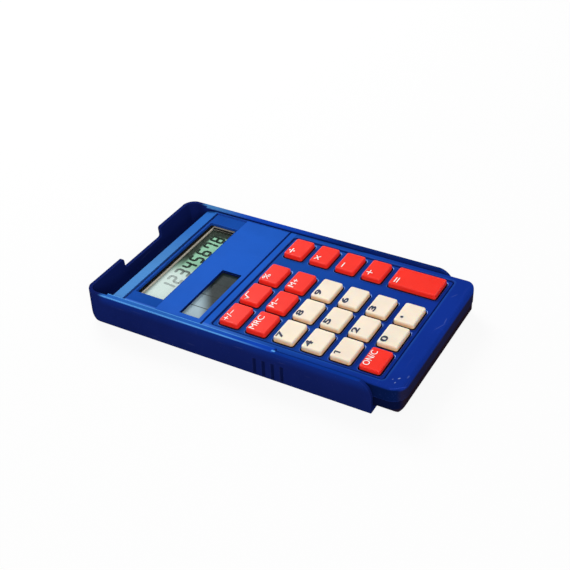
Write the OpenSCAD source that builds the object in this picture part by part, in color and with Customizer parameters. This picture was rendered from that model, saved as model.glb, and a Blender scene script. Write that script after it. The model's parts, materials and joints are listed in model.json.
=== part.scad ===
// Pocket solar calculator lying in its hard slide cover, with 23 keys.
// Millimetres, +Z up, +Y towards the display end, origin under the middle of the bounding box.

/* [Keys] */
// Width of every key cap
key_w = 11.35; // [9:0.05:13]
// Length of a single key cap, front to back
key_l = 7.7; // [6:0.05:9]
// Distance between neighbouring columns
col_pitch = 13.4; // [12:0.05:16]
// Distance from the third column to the operator column
op_pitch = 18.75; // [16:0.05:24]
// Distance between rows
row_pitch = 10.64; // [9:0.01:13]
// Height of a key cap above the keypad panel
key_rise = 1.8; // [1.2:0.05:3]
// Height by which the on/clear key stands lower than the others
clear_drop = 0.4; // [0:0.05:0.6]
// Travel of a key
key_travel = 1.0; // [0.6:0.05:1.5]
// Corner radius of a key cap in plan
key_corner_r = 0.9; // [0.5:0.05:2]
// Rounding at the upper edge of a key cap
key_edge = 0.45; // [0.2:0.05:0.8]
// Inset of a key cap's top against its foot
key_draft = 0.2; // [0.1:0.05:0.5]
// Clearance of a key in its opening
key_clear = 0.3; // [0.15:0.05:0.5]
// Width of the retaining flange round a key's foot
flange_w = 0.55; // [0.4:0.05:0.8]
// Thickness of the retaining flange
flange_t = 1.0; // [0.8:0.05:1.6]

/* [Keypad] */
// Margin beside the outer columns
panel_margin_x = 1.95; // [1.5:0.05:4]
// Margin above and below the outer rows
panel_margin_y = 2.35; // [1.5:0.05:4]
// Corner radius of the keypad panel
panel_r = 1.5; // [0.5:0.1:3]
// Depth of the keypad panel under the face
panel_recess = 0.4; // [0.2:0.05:0.8]
// Thickness of the case over the keys
top_t = 1.5; // [1.2:0.05:2.5]

/* [Case] */
// Rail beside the keypad panel
rail_w = 2.7; // [2.4:0.05:5]
// Plain face below the keypad panel
chin_l = 7.6; // [6.5:0.1:14]
// Strip between the keypad panel and the face plate
panel_gap = 3.3; // [2:0.1:6]
// Length of the face plate
plate_l = 18.6; // [15:0.1:26]
// Thickness of the face plate
plate_t = 0.8; // [0.5:0.05:0.9]
// Clearance round the face plate
plate_clear = 0.15; // [0.1:0.05:0.3]
// Rim of the case between the face plate and the rounded edge
plate_rim = 0.15; // [0.1:0.05:0.6]
// Length of the display recess
disp_l = 13.5; // [12.5:0.1:18]
// Depth of the display recess
disp_recess = 0.5; // [0.3:0.05:0.7]
// Width of the groove above the display recess
groove_w = 0.5; // [0.3:0.05:1]
// Depth of the groove under the display recess
groove_d = 0.4; // [0.2:0.05:0.6]
// Length of the sloping strip at the display end
bevel_l = 5.2; // [4:0.1:8]
// Fall of the sloping strip
bevel_drop = 1.2; // [0.6:0.05:2]
// Corner radius at the display end
head_r = 1.2; // [0.8:0.1:2]
// Corner radius at the lower end
foot_r = 5.5; // [3:0.1:6]
// Rounding along the upper edges
top_edge_r = 0.8; // [0.4:0.05:1.1]
// Rounding along the upper edge at the foot end
chin_edge_r = 1.7; // [0.8:0.1:2]
// Rounding along the underside edges
base_edge_r = 2.6; // [1.5:0.1:3]
// Rounding of the underside at the lower end
foot_edge_r = 2.6; // [2:0.1:4.6]
// Wall thickness of the case halves
case_wall = 1.5; // [1.2:0.05:2]
// Floor thickness of the bottom case
case_floor = 1.5; // [1.2:0.05:2.5]
// Height of the seam above the underside
seam_h = 5.0; // [4.6:0.1:5.0]
// Inset of the bottom case at the seam
seam_inset = 0.2; // [0.1:0.05:0.4]
// Height of the locating tongue above the seam
tongue_h = 1.2; // [0.8:0.1:2]
// Thickness of the locating tongue
tongue_t = 0.8; // [0.6:0.05:1]
// Clearance between tongue and top case
tongue_clear = 0.1; // [0.05:0.05:0.25]

/* [Display] */
// Width of the display window
window_w = 50.8; // [44:0.1:51]
// Length of the display window
window_l = 11.9; // [9:0.1:12]
// Thickness of the clear lens
lens_t = 0.5; // [0.4:0.05:0.8]
// Overlap of the lens under the window edge
lens_over = 1.2; // [0.8:0.05:1.2]
// Thickness of the display frame
frame_t = 0.6; // [0.4:0.05:0.8]
// Visible width of the display frame at the sides
frame_side = 1.4; // [0.8:0.05:2]
// Visible width of the display frame above and below
frame_end = 1.4; // [0.8:0.05:2]
// Thickness of the liquid crystal panel
lcd_t = 1.6; // [1.2:0.05:1.6]
// Inset of the panel against its frame
lcd_inset = 0.4; // [0.2:0.05:0.8]
// Width of a contact strip
strip_w = 2.0; // [1.5:0.1:3]
// Clearance round the display stack
stack_clear = 0.2; // [0.1:0.05:0.4]
// Thickness of the case over the lens
disp_t = 1.2; // [0.9:0.05:1.4]

/* [Solar cell] */
// Width of the solar window
solar_w = 28.8; // [22:0.1:29.5]
// Length of the solar window
solar_l = 8.15; // [6:0.05:9]
// Distance of the solar window from the face plate's side edge
solar_side = 2.5; // [1.5:0.05:6]
// Distance of the solar window from the face plate's lower edge
solar_low = 1.65; // [1.5:0.05:5]
// Depth of the cell under the face
solar_depth = 1.4; // [1.2:0.05:1.6]
// Overlap of the cell under the window edge
solar_over = 0.9; // [0.6:0.05:1.2]
// Thickness of the solar cell
solar_t = 1.1; // [0.8:0.05:1.5]
// Inset of the foam pad against the cell
pad_inset = 2.6; // [2.2:0.1:4]
// Diameter of a solar lead
lead_d = 0.6; // [0.4:0.05:1]

/* [Circuit] */
// Lift of the board above the floor
board_lift = 2.2; // [1.8:0.05:3]
// Thickness of the board
board_t = 1.2; // [0.8:0.05:1.2]
// Clearance between board and case wall
board_clear = 0.5; // [0.3:0.05:1]
// Thickness of the rubber mat's sheet
mat_t = 0.8; // [0.5:0.05:1.2]
// Height of a pressed rubber dome above the sheet
dome_low = 1.0; // [0.7:0.05:1.5]
// Diameter of a dome at its foot
dome_d = 6.4; // [5:0.1:7]
// Diameter of a dome at its top
dome_top_d = 4.4; // [3:0.1:5]
// Wall thickness of a dome
dome_wall = 0.6; // [0.4:0.05:0.8]
// Diameter of the chip's cover
chip_d = 11; // [8:0.5:14]
// Height of the chip's cover
chip_h = 1.4; // [1:0.05:1.7]
// Diameter of the capacitor
cap_d = 3.2; // [2:0.1:3.4]
// Length of the capacitor
cap_l = 6; // [4:0.5:8]
// Diameter of the diode
diode_d = 1.8; // [1.2:0.1:2.5]
// Length of the diode
diode_l = 3.8; // [3:0.1:5]
// Distance between capacitor and diode
part_pitch = 5; // [4:0.1:8]

/* [Screws] */
// Shank diameter
screw_d = 1.8; // [1.6:0.05:2]
// Head diameter
screw_head_d = 3.6; // [3:0.1:3.8]
// Head height
screw_head_h = 1.3; // [1:0.05:1.6]
// Sinking of the head under the underside
screw_sink = 0.4; // [0.2:0.05:0.6]
// Diameter of the cross recess
screw_cross = 2.0; // [1.5:0.1:2.4]
// Width of the cross recess
screw_slot = 0.5; // [0.4:0.05:0.7]
// Clearance round a screw
screw_clear = 0.25; // [0.15:0.05:0.35]
// Wall round a screw hole
boss_wall = 1.1; // [0.9:0.05:1.4]

/* [Slide cover] */
// Wall thickness of the cover
cover_wall = 1.4; // [0.9:0.05:2]
// Floor thickness of the cover
cover_floor = 1.2; // [1:0.05:2]
// Clearance between the case and the cover's walls
cover_clear = 0.5; // [0.2:0.05:0.6]
// Length of the cover
cover_l = 114.2; // [100:0.1:118]
// Gap between the display end and the closed end of the cover
end_gap = 8.3; // [3:0.1:60]
// Corner radius at the closed end
cover_r = 5; // [4:0.1:8]
// Outward lean of the closed end over its height
end_lean = 1.2; // [0.2:0.05:2]
// Rounding of the underside at the closed end
end_edge_r = 6.4; // [3:0.1:7]
// Rounding along the cover's lower edges
cover_edge_r = 0.7; // [0.5:0.05:1.1]
// Radius at the upper corner of the side walls' free ends
wall_end_r = 6.5; // [2:0.1:8]
// Overhang of the retaining lips
lip_in = 1.0; // [0.6:0.05:1.1]
// Thickness of the retaining lips
lip_t = 0.6; // [0.5:0.05:1]
// Clearance between the lips and the case
lip_clear = 0.2; // [0.1:0.05:0.4]
// Length of the retaining lips
lip_l = 69.2; // [40:0.1:80]
// Start of the lips behind the closed end
lip_start = 9.4; // [7:0.1:14]
// Width of the finger notch at half its depth
notch_w = 24; // [14:0.5:34]
// Depth of the finger notch
notch_d = 4.1; // [3:0.1:6]
// Rounding at the foot and at the head of the notch's sides
notch_r = 1.0; // [0.5:0.1:1.5]
// Number of grip grooves on each side
grip_n = 4; // [2:1:6]
// Pitch of the grip grooves
grip_pitch = 3.5; // [2.5:0.1:5]
// Width of a grip groove
grip_w = 1.3; // [0.8:0.1:1.8]
// Depth of a grip groove
grip_d = 0.4; // [0.2:0.05:0.5]
// Height of the grip grooves
grip_h = 6.6; // [4:0.1:8]
// Distance of the first grip groove from the walls' free ends
grip_start = 32.9; // [20:0.1:60]

/* [Hidden] */

// Overlap that makes cutters run past a face
eps = 0.5;
// Thickness of a station in a key cap's outline
cap_slice = 0.05;
fine = 64;
row_count = 6;
col_count = 3;

// Levels, from the table upwards
z_base = cover_floor;
z_floor = z_base + case_floor;
z_board = z_floor + board_lift;
z_mat = z_board + board_t;
z_sheet = z_mat + mat_t;
dome_h = key_travel + dome_low;
z_dome = z_sheet + dome_h;
z_ceil = z_dome + flange_t;
z_panel = z_ceil + top_t;
z_top = z_panel + panel_recess;
z_key = z_panel + key_rise;
z_seam = z_base + seam_h;
z_disp = z_top - disp_recess;
z_lens = z_disp - disp_t;
z_frame = z_lens - lens_t;
z_lcd = z_frame - frame_t;
z_lcd_low = z_lcd - lcd_t;
z_solar = z_top - solar_depth;
z_solar_low = z_solar - solar_t;
z_lip = z_top + lip_clear;
cover_h = z_lip + lip_t;

// Plan of the keypad
panel_w = (col_count - 1) * col_pitch + op_pitch + key_w + 2 * panel_margin_x;
panel_l = (row_count - 1) * row_pitch + key_l + 2 * panel_margin_y;

// Plan of the case
lens_w = window_w + 2 * lens_over;
pillar_d = screw_d + 2 * boss_wall;
body_w = max(panel_w + 2 * rail_w, lens_w + 2 * (stack_clear + pillar_d + screw_clear + case_wall));
body_l = bevel_l + groove_w + disp_l + plate_l + panel_gap + panel_l + chin_l;
overall_l = max(cover_l, cover_wall + end_gap + body_l);
cover_y1 = overall_l / 2;
cover_y0 = cover_y1 - cover_l;
body_y1 = cover_y1 - cover_wall - end_gap;
body_y0 = body_y1 - body_l;
bevel_y = body_y1 - bevel_l;
disp_y1 = bevel_y - groove_w;
disp_y0 = disp_y1 - disp_l;
plate_y0 = disp_y0 - plate_l;
panel_y1 = plate_y0 - panel_gap;
panel_y0 = panel_y1 - panel_l;
plate_w = body_w - 2 * (top_edge_r + plate_rim + plate_clear);
disp_w = plate_w - 2 * plate_clear;
inner_w = body_w - 2 * case_wall;
room_r = max(foot_r - case_wall, tongue_clear + tongue_t + seam_inset + board_clear);

// Keys
key_x0 = -panel_w / 2 + panel_margin_x + key_w / 2;
key_y0 = panel_y1 - panel_margin_y - key_l / 2;
function key_x(c) = key_x0 + min(c, col_count - 1) * col_pitch + (c == col_count ? op_pitch : 0);
function key_y(r, span) = key_y0 - (r + (span - 1) / 2) * row_pitch;
function key_len(span) = key_l + (span - 1) * row_pitch;

// Column, first row and number of rows of every key
key_spots = [
    [0, 0, 1], [1, 0, 1], [2, 0, 1], [3, 0, 1],
    [0, 1, 1], [1, 1, 1], [2, 1, 1], [3, 1, 1],
    [0, 2, 1], [1, 2, 1], [2, 2, 1], [3, 2, 1],
    [0, 3, 1], [1, 3, 1], [2, 3, 1], [3, 3, 1],
    [0, 4, 1], [1, 4, 1], [2, 4, 1], [3, 4, 2],
    [0, 5, 1], [1, 5, 1], [2, 5, 1]
];

// Display stack
window_y = disp_y0 + disp_l / 2;
lens_l = window_l + 2 * lens_over;
view_w = window_w - 2 * frame_side;
view_l = window_l - 2 * frame_end;
lcd_w = lens_w - 2 * lcd_inset;
lcd_l = lens_l - 2 * lcd_inset;

// Solar cell
solar_x = -plate_w / 2 + solar_side + solar_w / 2;
solar_y = plate_y0 + solar_low + solar_l / 2;
cell_w = solar_w + 2 * solar_over;
cell_l = solar_l + 2 * solar_over;
lead_x = cell_w / 2 - pad_inset / 2;

// Screws
hole_d = screw_d + 2 * screw_clear;
sink_d = screw_head_d + 2 * screw_clear;
boss_d = sink_d + 2 * boss_wall;
z_head = z_base + screw_sink;
z_shank = z_head + screw_head_h;
z_tip = z_ceil - boss_wall;
op_gap_x = (key_x(col_count - 1) + key_x(col_count)) / 2;
screw_side_x = (lens_w + inner_w) / 4;
screw_foot_x = body_w / 2 - foot_r - boss_wall;
screw_foot_y = body_y0 + seam_inset + foot_edge_r + sink_d / 2;
screw_spots = [
    [-screw_side_x, window_y], [screw_side_x, window_y],
    [-screw_foot_x, screw_foot_y], [screw_foot_x, screw_foot_y],
    [op_gap_x, key_y(2, 2)]
];

// Board
board_w = body_w - 2 * (seam_inset + case_wall + board_clear);
board_y0 = body_y0 + seam_inset + case_wall + board_clear;
board_y1 = disp_y1 + case_wall;
mat_w = panel_w - 2 * mat_t;
part_x = (solar_x + solar_w / 2 + plate_w / 2) / 2;

// Slide cover
cover_w = body_w + 2 * (cover_clear + cover_wall);
cover_in_w = cover_w - 2 * cover_wall;
lip_y1 = cover_y1 - lip_start;
lean_a = atan(end_lean / cover_h);
z_notch = cover_h - notch_d;

// Rounded rectangle between two heights in y, with its own radius at each end
module plan(w, y0, y1, r0, r1) {
    union() {
        translate([-w / 2, y0 + r0])
            square([w, y1 - y0 - r0 - r1]);
        translate([-w / 2 + r0, y0])
            square([w - 2 * r0, y1 - y0 - r1]);
        translate([-w / 2 + r1, y0 + r0])
            square([w - 2 * r1, y1 - y0 - r0]);
        for (s = [-1, 1]) {
            translate([s * (w / 2 - r0), y0 + r0])
                circle(r = r0, $fn = fine);
            translate([s * (w / 2 - r1), y1 - r1])
                circle(r = r1, $fn = fine);
        }
    }
}

// Upright block with rounded corners at its foot end
module foot_block(w, y0, y1, r, z0, z1) {
    translate([0, 0, z0])
        linear_extrude(height = z1 - z0)
            union() {
                translate([-w / 2, y0 + r])
                    square([w, y1 - y0 - r]);
                translate([-w / 2 + r, y0])
                    square([w - 2 * r, y1 - y0]);
                for (s = [-1, 1])
                    translate([s * (w / 2 - r), y0 + r])
                        circle(r = r, $fn = fine);
            }
}

// Upright slab with rounded edges, its long edges along y
module edged_slab(w, y0, y1, z0, z1, r_low, r_high) {
    translate([0, y1, 0])
        rotate([90, 0, 0])
            linear_extrude(height = y1 - y0)
                plan(w, z0, z1, r_low, r_high);
}

// Upright slab with rounded edges, its long edges along x
module ended_slab(w, y0, y1, z0, z1, r_low, r_high) {
    translate([-w / 2, (y0 + y1) / 2, 0])
        rotate([90, 0, 90])
            linear_extrude(height = w)
                plan(y1 - y0, z0, z1, r_low, r_high);
}

module block(w, y0, y1, z0, z1) {
    translate([-w / 2, y0, z0])
        cube([w, y1 - y0, z1 - z0]);
}

module panel(w, l, x, y, z, t) {
    translate([x - w / 2, y - l / 2, z])
        cube([w, l, t]);
}

module post(d, x, y, z0, z1) {
    translate([x, y, z0])
        cylinder(d = d, h = z1 - z0, $fn = fine);
}

// Outer form of the closed case between two levels, drawn in by an inset
module body_form(inset, z0, z1) {
    intersection() {
        translate([0, 0, z0])
            linear_extrude(height = z1 - z0)
                plan(body_w - 2 * inset, body_y0 + inset, body_y1 - inset, foot_r - inset, head_r - inset);
        edged_slab(body_w - 2 * inset, body_y0, body_y1, z_base, z_top, base_edge_r, top_edge_r);
        ended_slab(body_w, body_y0 + inset, body_y1 + body_l, z_base, z_top, foot_edge_r, chin_edge_r);
        ended_slab(body_w, body_y0 - body_l, body_y1 - inset, z_base, z_top, base_edge_r, top_edge_r);
    }
}

// Prism that takes the display end down to the sloping strip
module bevel_cut() {
    translate([-body_w / 2 - eps, 0, 0])
        rotate([90, 0, 90])
            linear_extrude(height = body_w + 2 * eps)
                polygon([
                    [bevel_y, z_top],
                    [body_y1 + eps, z_top - bevel_drop * (bevel_l + eps) / bevel_l],
                    [body_y1 + eps, z_top + eps],
                    [bevel_y, z_top + eps]
                ]);
}

module key_openings() {
    mouth_r = key_corner_r + key_clear;
    for (k = key_spots) {
        reach = key_len(k[2]) / 2 + key_clear;
        translate([key_x(k[0]), key_y(k[1], k[2]), z_ceil - eps])
            linear_extrude(height = top_t + panel_recess + 2 * eps)
                plan(key_w + 2 * key_clear, -reach, reach, mouth_r, mouth_r);
    }
}

module case_room() {
    // Room for boards and keys
    foot_block(inner_w, body_y0 + case_wall, disp_y1 + case_wall, room_r, z_seam - eps, z_ceil);
    // Pocket for the display stack
    panel(lens_w + 2 * stack_clear, lens_l + 2 * stack_clear, 0, window_y,
          z_ceil - eps, z_lens - z_ceil + eps);
    // Pocket for the solar cell
    panel(cell_w + 2 * stack_clear, cell_l + 2 * stack_clear, solar_x, solar_y,
          z_ceil - eps, z_solar - z_ceil + eps);
}

module top_case() {
    color([0.09, 0.26, 0.66])
    union() {
        difference() {
            body_form(0, z_seam, z_top);
            bevel_cut();
            case_room();
            // Keypad panel
            translate([0, 0, z_panel])
                linear_extrude(height = panel_recess + eps)
                    plan(panel_w, panel_y0, panel_y1, panel_r, panel_r);
            key_openings();
            // Seat of the face plate
            block(plate_w + 2 * plate_clear, plate_y0 - plate_clear, disp_y0 + plate_clear,
                  z_top - plate_t, z_top + eps);
            // Display recess with its groove
            block(disp_w, disp_y0, disp_y1 + groove_w, z_disp, z_top + eps);
            block(disp_w, disp_y1, disp_y1 + groove_w, z_disp - groove_d, z_top + eps);
            // Windows
            panel(window_w, window_l, 0, window_y, z_lens - eps, disp_t + 2 * eps);
            panel(solar_w, solar_l, solar_x, solar_y, z_solar - eps, solar_depth + 2 * eps);
        }
        // Screw pillars
        for (s = screw_spots)
            difference() {
                post(pillar_d, s[0], s[1], z_mat, z_ceil + eps / 2);
                post(screw_d, s[0], s[1], z_mat - eps, z_tip);
            }
    }
}

module bottom_case() {
    color([0.07, 0.18, 0.52])
    difference() {
        union() {
            difference() {
                body_form(seam_inset, z_base, z_seam);
                foot_block(inner_w - 2 * seam_inset, body_y0 + seam_inset + case_wall,
                           disp_y1 + case_wall, room_r - seam_inset, z_board, z_seam + eps);
                foot_block(inner_w - 2 * seam_inset, body_y0 + seam_inset + foot_edge_r,
                           disp_y1 + case_wall, room_r - seam_inset, z_floor, z_seam + eps);
            }
            // Locating tongue
            difference() {
                foot_block(inner_w - 2 * tongue_clear, body_y0 + case_wall + tongue_clear,
                           disp_y1 + case_wall - tongue_clear, room_r - tongue_clear, z_mat, z_seam + tongue_h);
                foot_block(inner_w - 2 * (tongue_clear + tongue_t), body_y0 + case_wall + tongue_clear + tongue_t,
                           disp_y1 + case_wall - tongue_clear - tongue_t, room_r - tongue_clear - tongue_t,
                           z_mat - eps, z_seam + tongue_h + eps);
                for (s = screw_spots)
                    post(pillar_d + 2 * screw_clear, s[0], s[1], z_mat - eps, z_seam + tongue_h + eps);
            }
            for (s = screw_spots)
                post(boss_d, s[0], s[1], z_floor - case_floor / 2, z_board);
        }
        for (s = screw_spots) {
            post(sink_d, s[0], s[1], z_base - eps, z_shank);
            post(hole_d, s[0], s[1], z_base, z_board + eps);
        }
    }
}

module case_screws() {
    color([0.62, 0.63, 0.65])
    for (s = screw_spots)
        difference() {
            union() {
                post(screw_head_d, s[0], s[1], z_head, z_shank);
                post(screw_d, s[0], s[1], z_shank - eps / 2, z_tip);
            }
            for (a = [0, 90])
                translate([s[0], s[1], z_head])
                    rotate([0, 0, a])
                        cube([screw_cross, screw_slot, screw_head_h], center = true);
        }
}

module face_plate() {
    color([0.18, 0.39, 0.74])
    difference() {
        block(plate_w, plate_y0, disp_y0, z_top - plate_t, z_top);
        panel(solar_w, solar_l, solar_x, solar_y, z_top - plate_t - eps, plate_t + 2 * eps);
    }
}

module display_lens() {
    color([0.85, 0.92, 0.95, 0.4])
    panel(lens_w, lens_l, 0, window_y, z_frame, lens_t);
}

module lcd_frame() {
    color([0.80, 0.74, 0.66])
    difference() {
        panel(lens_w, lens_l, 0, window_y, z_lcd, frame_t);
        panel(view_w, view_l, 0, window_y, z_lcd - eps, frame_t + 2 * eps);
    }
}

module lcd_panel() {
    color([0.62, 0.70, 0.60])
    panel(lcd_w, lcd_l, 0, window_y, z_lcd_low, lcd_t);
}

// Two equal rubber contact strips between panel and board
module lcd_strips() {
    color([0.75, 0.72, 0.68])
    for (s = [-1, 1])
        panel(view_w, strip_w, 0, window_y + s * (lcd_l - strip_w) / 2, z_mat, z_lcd_low - z_mat);
}

module solar_cell() {
    color([0.25, 0.24, 0.26])
    panel(cell_w, cell_l, solar_x, solar_y, z_solar_low, solar_t);
}

module solar_pad() {
    color([0.30, 0.30, 0.32])
    panel(cell_w - 2 * pad_inset, cell_l - pad_inset, solar_x, solar_y, z_mat, z_solar_low - z_mat);
}

module solar_leads() {
    color([0.80, 0.48, 0.25])
    for (s = [-1, 1])
        post(lead_d, solar_x + s * lead_x, solar_y, z_mat, z_solar_low);
}

module circuit_board() {
    color([0.20, 0.42, 0.24])
    difference() {
        foot_block(board_w, board_y0, board_y1, room_r - seam_inset - board_clear, z_board, z_mat);
        for (s = screw_spots)
            post(hole_d, s[0], s[1], z_board - eps, z_mat + eps);
    }
}

// Resin cap over the chip, under the board
module chip_cover() {
    ball_r = (chip_d * chip_d / 4 + chip_h * chip_h) / (2 * chip_h);
    color([0.06, 0.06, 0.07])
    intersection() {
        translate([0, solar_y, z_board - chip_h + ball_r])
            sphere(r = ball_r, $fn = 4 * fine);
        panel(chip_d + 2 * eps, chip_d + 2 * eps, 0, solar_y, z_board - chip_h - eps, chip_h + eps);
    }
}

// Part with wire ends lying on the board
module lying_part(d, l, y) {
    union() {
        translate([part_x - l / 2, y, z_mat + d / 2])
            rotate([0, 90, 0])
                cylinder(d = d, h = l, $fn = fine);
        for (s = [-1, 1]) {
            panel(lead_d, lead_d, part_x + s * (l / 2 + lead_d), y, z_mat, d / 2);
            panel(2 * lead_d, lead_d, part_x + s * (l + lead_d) / 2, y, z_mat + d / 2 - lead_d / 2, lead_d);
        }
    }
}

module capacitor() {
    color([0.12, 0.16, 0.35])
    lying_part(cap_d, cap_l, solar_y + part_pitch / 2);
}

module clamp_diode() {
    color([0.72, 0.32, 0.20])
    lying_part(diode_d, diode_l, solar_y - part_pitch / 2);
}

module keypad_mat() {
    color([0.70, 0.71, 0.72])
    difference() {
        union() {
            block(mat_w, panel_y0 + mat_t, panel_y1 - mat_t, z_mat, z_sheet);
            for (k = key_spots)
                translate([key_x(k[0]), key_y(k[1], k[2]), z_sheet])
                    cylinder(d1 = dome_d, d2 = dome_top_d, h = dome_h, $fn = fine);
        }
        for (k = key_spots)
            translate([key_x(k[0]), key_y(k[1], k[2]), z_mat - eps])
                cylinder(d1 = dome_d - dome_wall, d2 = dome_top_d - 2 * dome_wall,
                         h = mat_t + dome_h + eps - dome_wall, $fn = fine);
        for (s = screw_spots)
            post(pillar_d + 2 * screw_clear, s[0], s[1], z_mat - eps, z_sheet + eps);
    }
}

// Thin level of a key cap, used as a station of its outline
module cap_level(w, l, z) {
    translate([0, 0, z - cap_slice])
        linear_extrude(height = cap_slice)
            for (x = [-1, 1], y = [-1, 1])
                translate([x * (w / 2 - key_corner_r), y * (l / 2 - key_corner_r)])
                    circle(r = key_corner_r, $fn = 32);
}

// Key with its foot flange
module key(c, r, span, shade, drop = 0) {
    l = key_len(span);
    z_cap = z_key - drop;
    top_w = key_w - key_draft;
    top_l = l - key_draft;
    color(shade)
    translate([key_x(c), key_y(r, span), 0])
        union() {
            hull() {
                cap_level(key_w, l, z_ceil);
                cap_level(key_w, l, z_panel);
                cap_level(top_w, top_l, z_cap - key_edge);
                cap_level(top_w - key_edge / 2, top_l - key_edge / 2, z_cap - key_edge / 4);
                cap_level(top_w - 2 * key_edge, top_l - 2 * key_edge, z_cap);
            }
            panel(key_w + 2 * flange_w, l + 2 * flange_w, 0, 0, z_dome, flange_t);
        }
}

red = [0.93, 0.20, 0.16];
cream = [0.93, 0.89, 0.80];

module key_sign() { key(0, 0, 1, red); }
module key_root() { key(1, 0, 1, red); }
module key_percent() { key(2, 0, 1, red); }
module key_divide() { key(3, 0, 1, red); }
module key_memory_recall() { key(0, 1, 1, red); }
module key_memory_minus() { key(1, 1, 1, red); }
module key_memory_plus() { key(2, 1, 1, red); }
module key_times() { key(3, 1, 1, red); }
module key_7() { key(0, 2, 1, cream); }
module key_8() { key(1, 2, 1, cream); }
module key_9() { key(2, 2, 1, cream); }
module key_minus() { key(3, 2, 1, red); }
module key_4() { key(0, 3, 1, cream); }
module key_5() { key(1, 3, 1, cream); }
module key_6() { key(2, 3, 1, cream); }
module key_plus() { key(3, 3, 1, red); }
module key_1() { key(0, 4, 1, cream); }
module key_2() { key(1, 4, 1, cream); }
module key_3() { key(2, 4, 1, cream); }
module key_equals() { key(3, 4, 2, red); }
module key_on_clear() { key(0, 5, 1, red, clear_drop); }
module key_0() { key(1, 5, 1, cream); }
module key_point() { key(2, 5, 1, cream); }

// Outer form of the cover, drawn in by an inset
module cover_form(inset, z0, z1) {
    translate([0, 0, z0])
        linear_extrude(height = z1 - z0)
            union() {
                plan(cover_w - 2 * inset, cover_y0 + cover_r, cover_y1 - inset, cover_r, cover_r - inset);
                translate([-cover_w / 2 + inset, cover_y0 - eps])
                    square([cover_w - 2 * inset, cover_l / 2]);
            }
}

// Side view of the cover with its leaning closed end, drawn in by a shift and raised to a floor
module cover_side(shift, z0, r) {
    foot_y = cover_y1 - shift - end_lean * (cover_h - z0) / cover_h;
    head_y = cover_y1 - shift + end_lean * eps / cover_h;
    run = r / tan(45 + lean_a / 2);
    translate([-cover_w / 2, 0, 0])
        rotate([90, 0, 90])
            linear_extrude(height = cover_w)
                difference() {
                    polygon([
                        [cover_y0 - eps, z0],
                        [foot_y, z0],
                        [head_y, cover_h + eps],
                        [cover_y0 - eps, cover_h + eps]
                    ]);
                    difference() {
                        translate([foot_y - run, z0 - eps])
                            square([run + end_lean + eps, eps + run * cos(lean_a)]);
                        translate([foot_y - run, z0 + r])
                            circle(r = r, $fn = fine);
                    }
                }
}

// Cutter that rounds the upper corner of the side walls' free ends
module wall_end_cut() {
    translate([-cover_w / 2 - eps, cover_y0, cover_h])
        rotate([90, 0, 90])
            linear_extrude(height = cover_w + 2 * eps)
                difference() {
                    translate([-eps, -wall_end_r])
                        square([wall_end_r + eps, wall_end_r + eps]);
                    translate([wall_end_r, -wall_end_r])
                        circle(r = wall_end_r, $fn = fine);
                }
}

// Finger notch through the closed end, with sides that swing out in two quarter circles
module notch_cut() {
    translate([0, cover_y1 + eps, 0])
        rotate([90, 0, 0])
            linear_extrude(height = cover_r)
                union() {
                    plan(notch_w, z_notch, cover_h + notch_r, notch_r, notch_r);
                    for (s = [-1, 1])
                        difference() {
                            translate([s * notch_w / 2 - notch_r, cover_h - notch_r])
                                square([2 * notch_r, notch_r + eps]);
                            translate([s * (notch_w / 2 + notch_r), cover_h - notch_r])
                                circle(r = notch_r, $fn = fine);
                        }
                }
}

module grip_cuts() {
    for (s = [-1, 1], i = [0 : grip_n - 1])
        translate([s * cover_w / 2, cover_y0 + grip_start + i * grip_pitch, cover_edge_r + grip_h / 2])
            cube([2 * grip_d, grip_w, grip_h], center = true);
}

module slide_cover() {
    color([0.08, 0.16, 0.50])
    difference() {
        intersection() {
            cover_form(0, 0, cover_h);
            edged_slab(cover_w, cover_y0, cover_y1, 0, cover_h, cover_edge_r, lip_t / 2);
            cover_side(0, 0, end_edge_r);
        }
        // Room for the calculator
        difference() {
            intersection() {
                cover_form(cover_wall, cover_floor, cover_h + eps);
                cover_side(cover_wall, cover_floor, end_edge_r - cover_wall);
            }
            for (s = [-1, 1])
                translate([s * cover_in_w / 2 - lip_in, lip_y1 - lip_l, z_lip])
                    cube([2 * lip_in, lip_l, lip_t + 2 * eps]);
        }
        wall_end_cut();
        notch_cut();
        grip_cuts();
    }
}

slide_cover();
top_case();
bottom_case();
case_screws();
face_plate();
display_lens();
lcd_frame();
lcd_panel();
lcd_strips();
solar_cell();
solar_pad();
solar_leads();
circuit_board();
chip_cover();
capacitor();
clamp_diode();
keypad_mat();
key_sign();
key_root();
key_percent();
key_divide();
key_memory_recall();
key_memory_minus();
key_memory_plus();
key_times();
key_7();
key_8();
key_9();
key_minus();
key_4();
key_5();
key_6();
key_plus();
key_1();
key_2();
key_3();
key_equals();
key_on_clear();
key_0();
key_point();
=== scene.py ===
"""Pocket solar calculator in its slide cover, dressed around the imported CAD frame."""

import json
from math import cos, pi, radians, sin

import bmesh
import bpy
from bpy.props import FloatProperty, FloatVectorProperty, PointerProperty
from mathutils import Matrix, Vector
from mathutils.bvhtree import BVHTree

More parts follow.
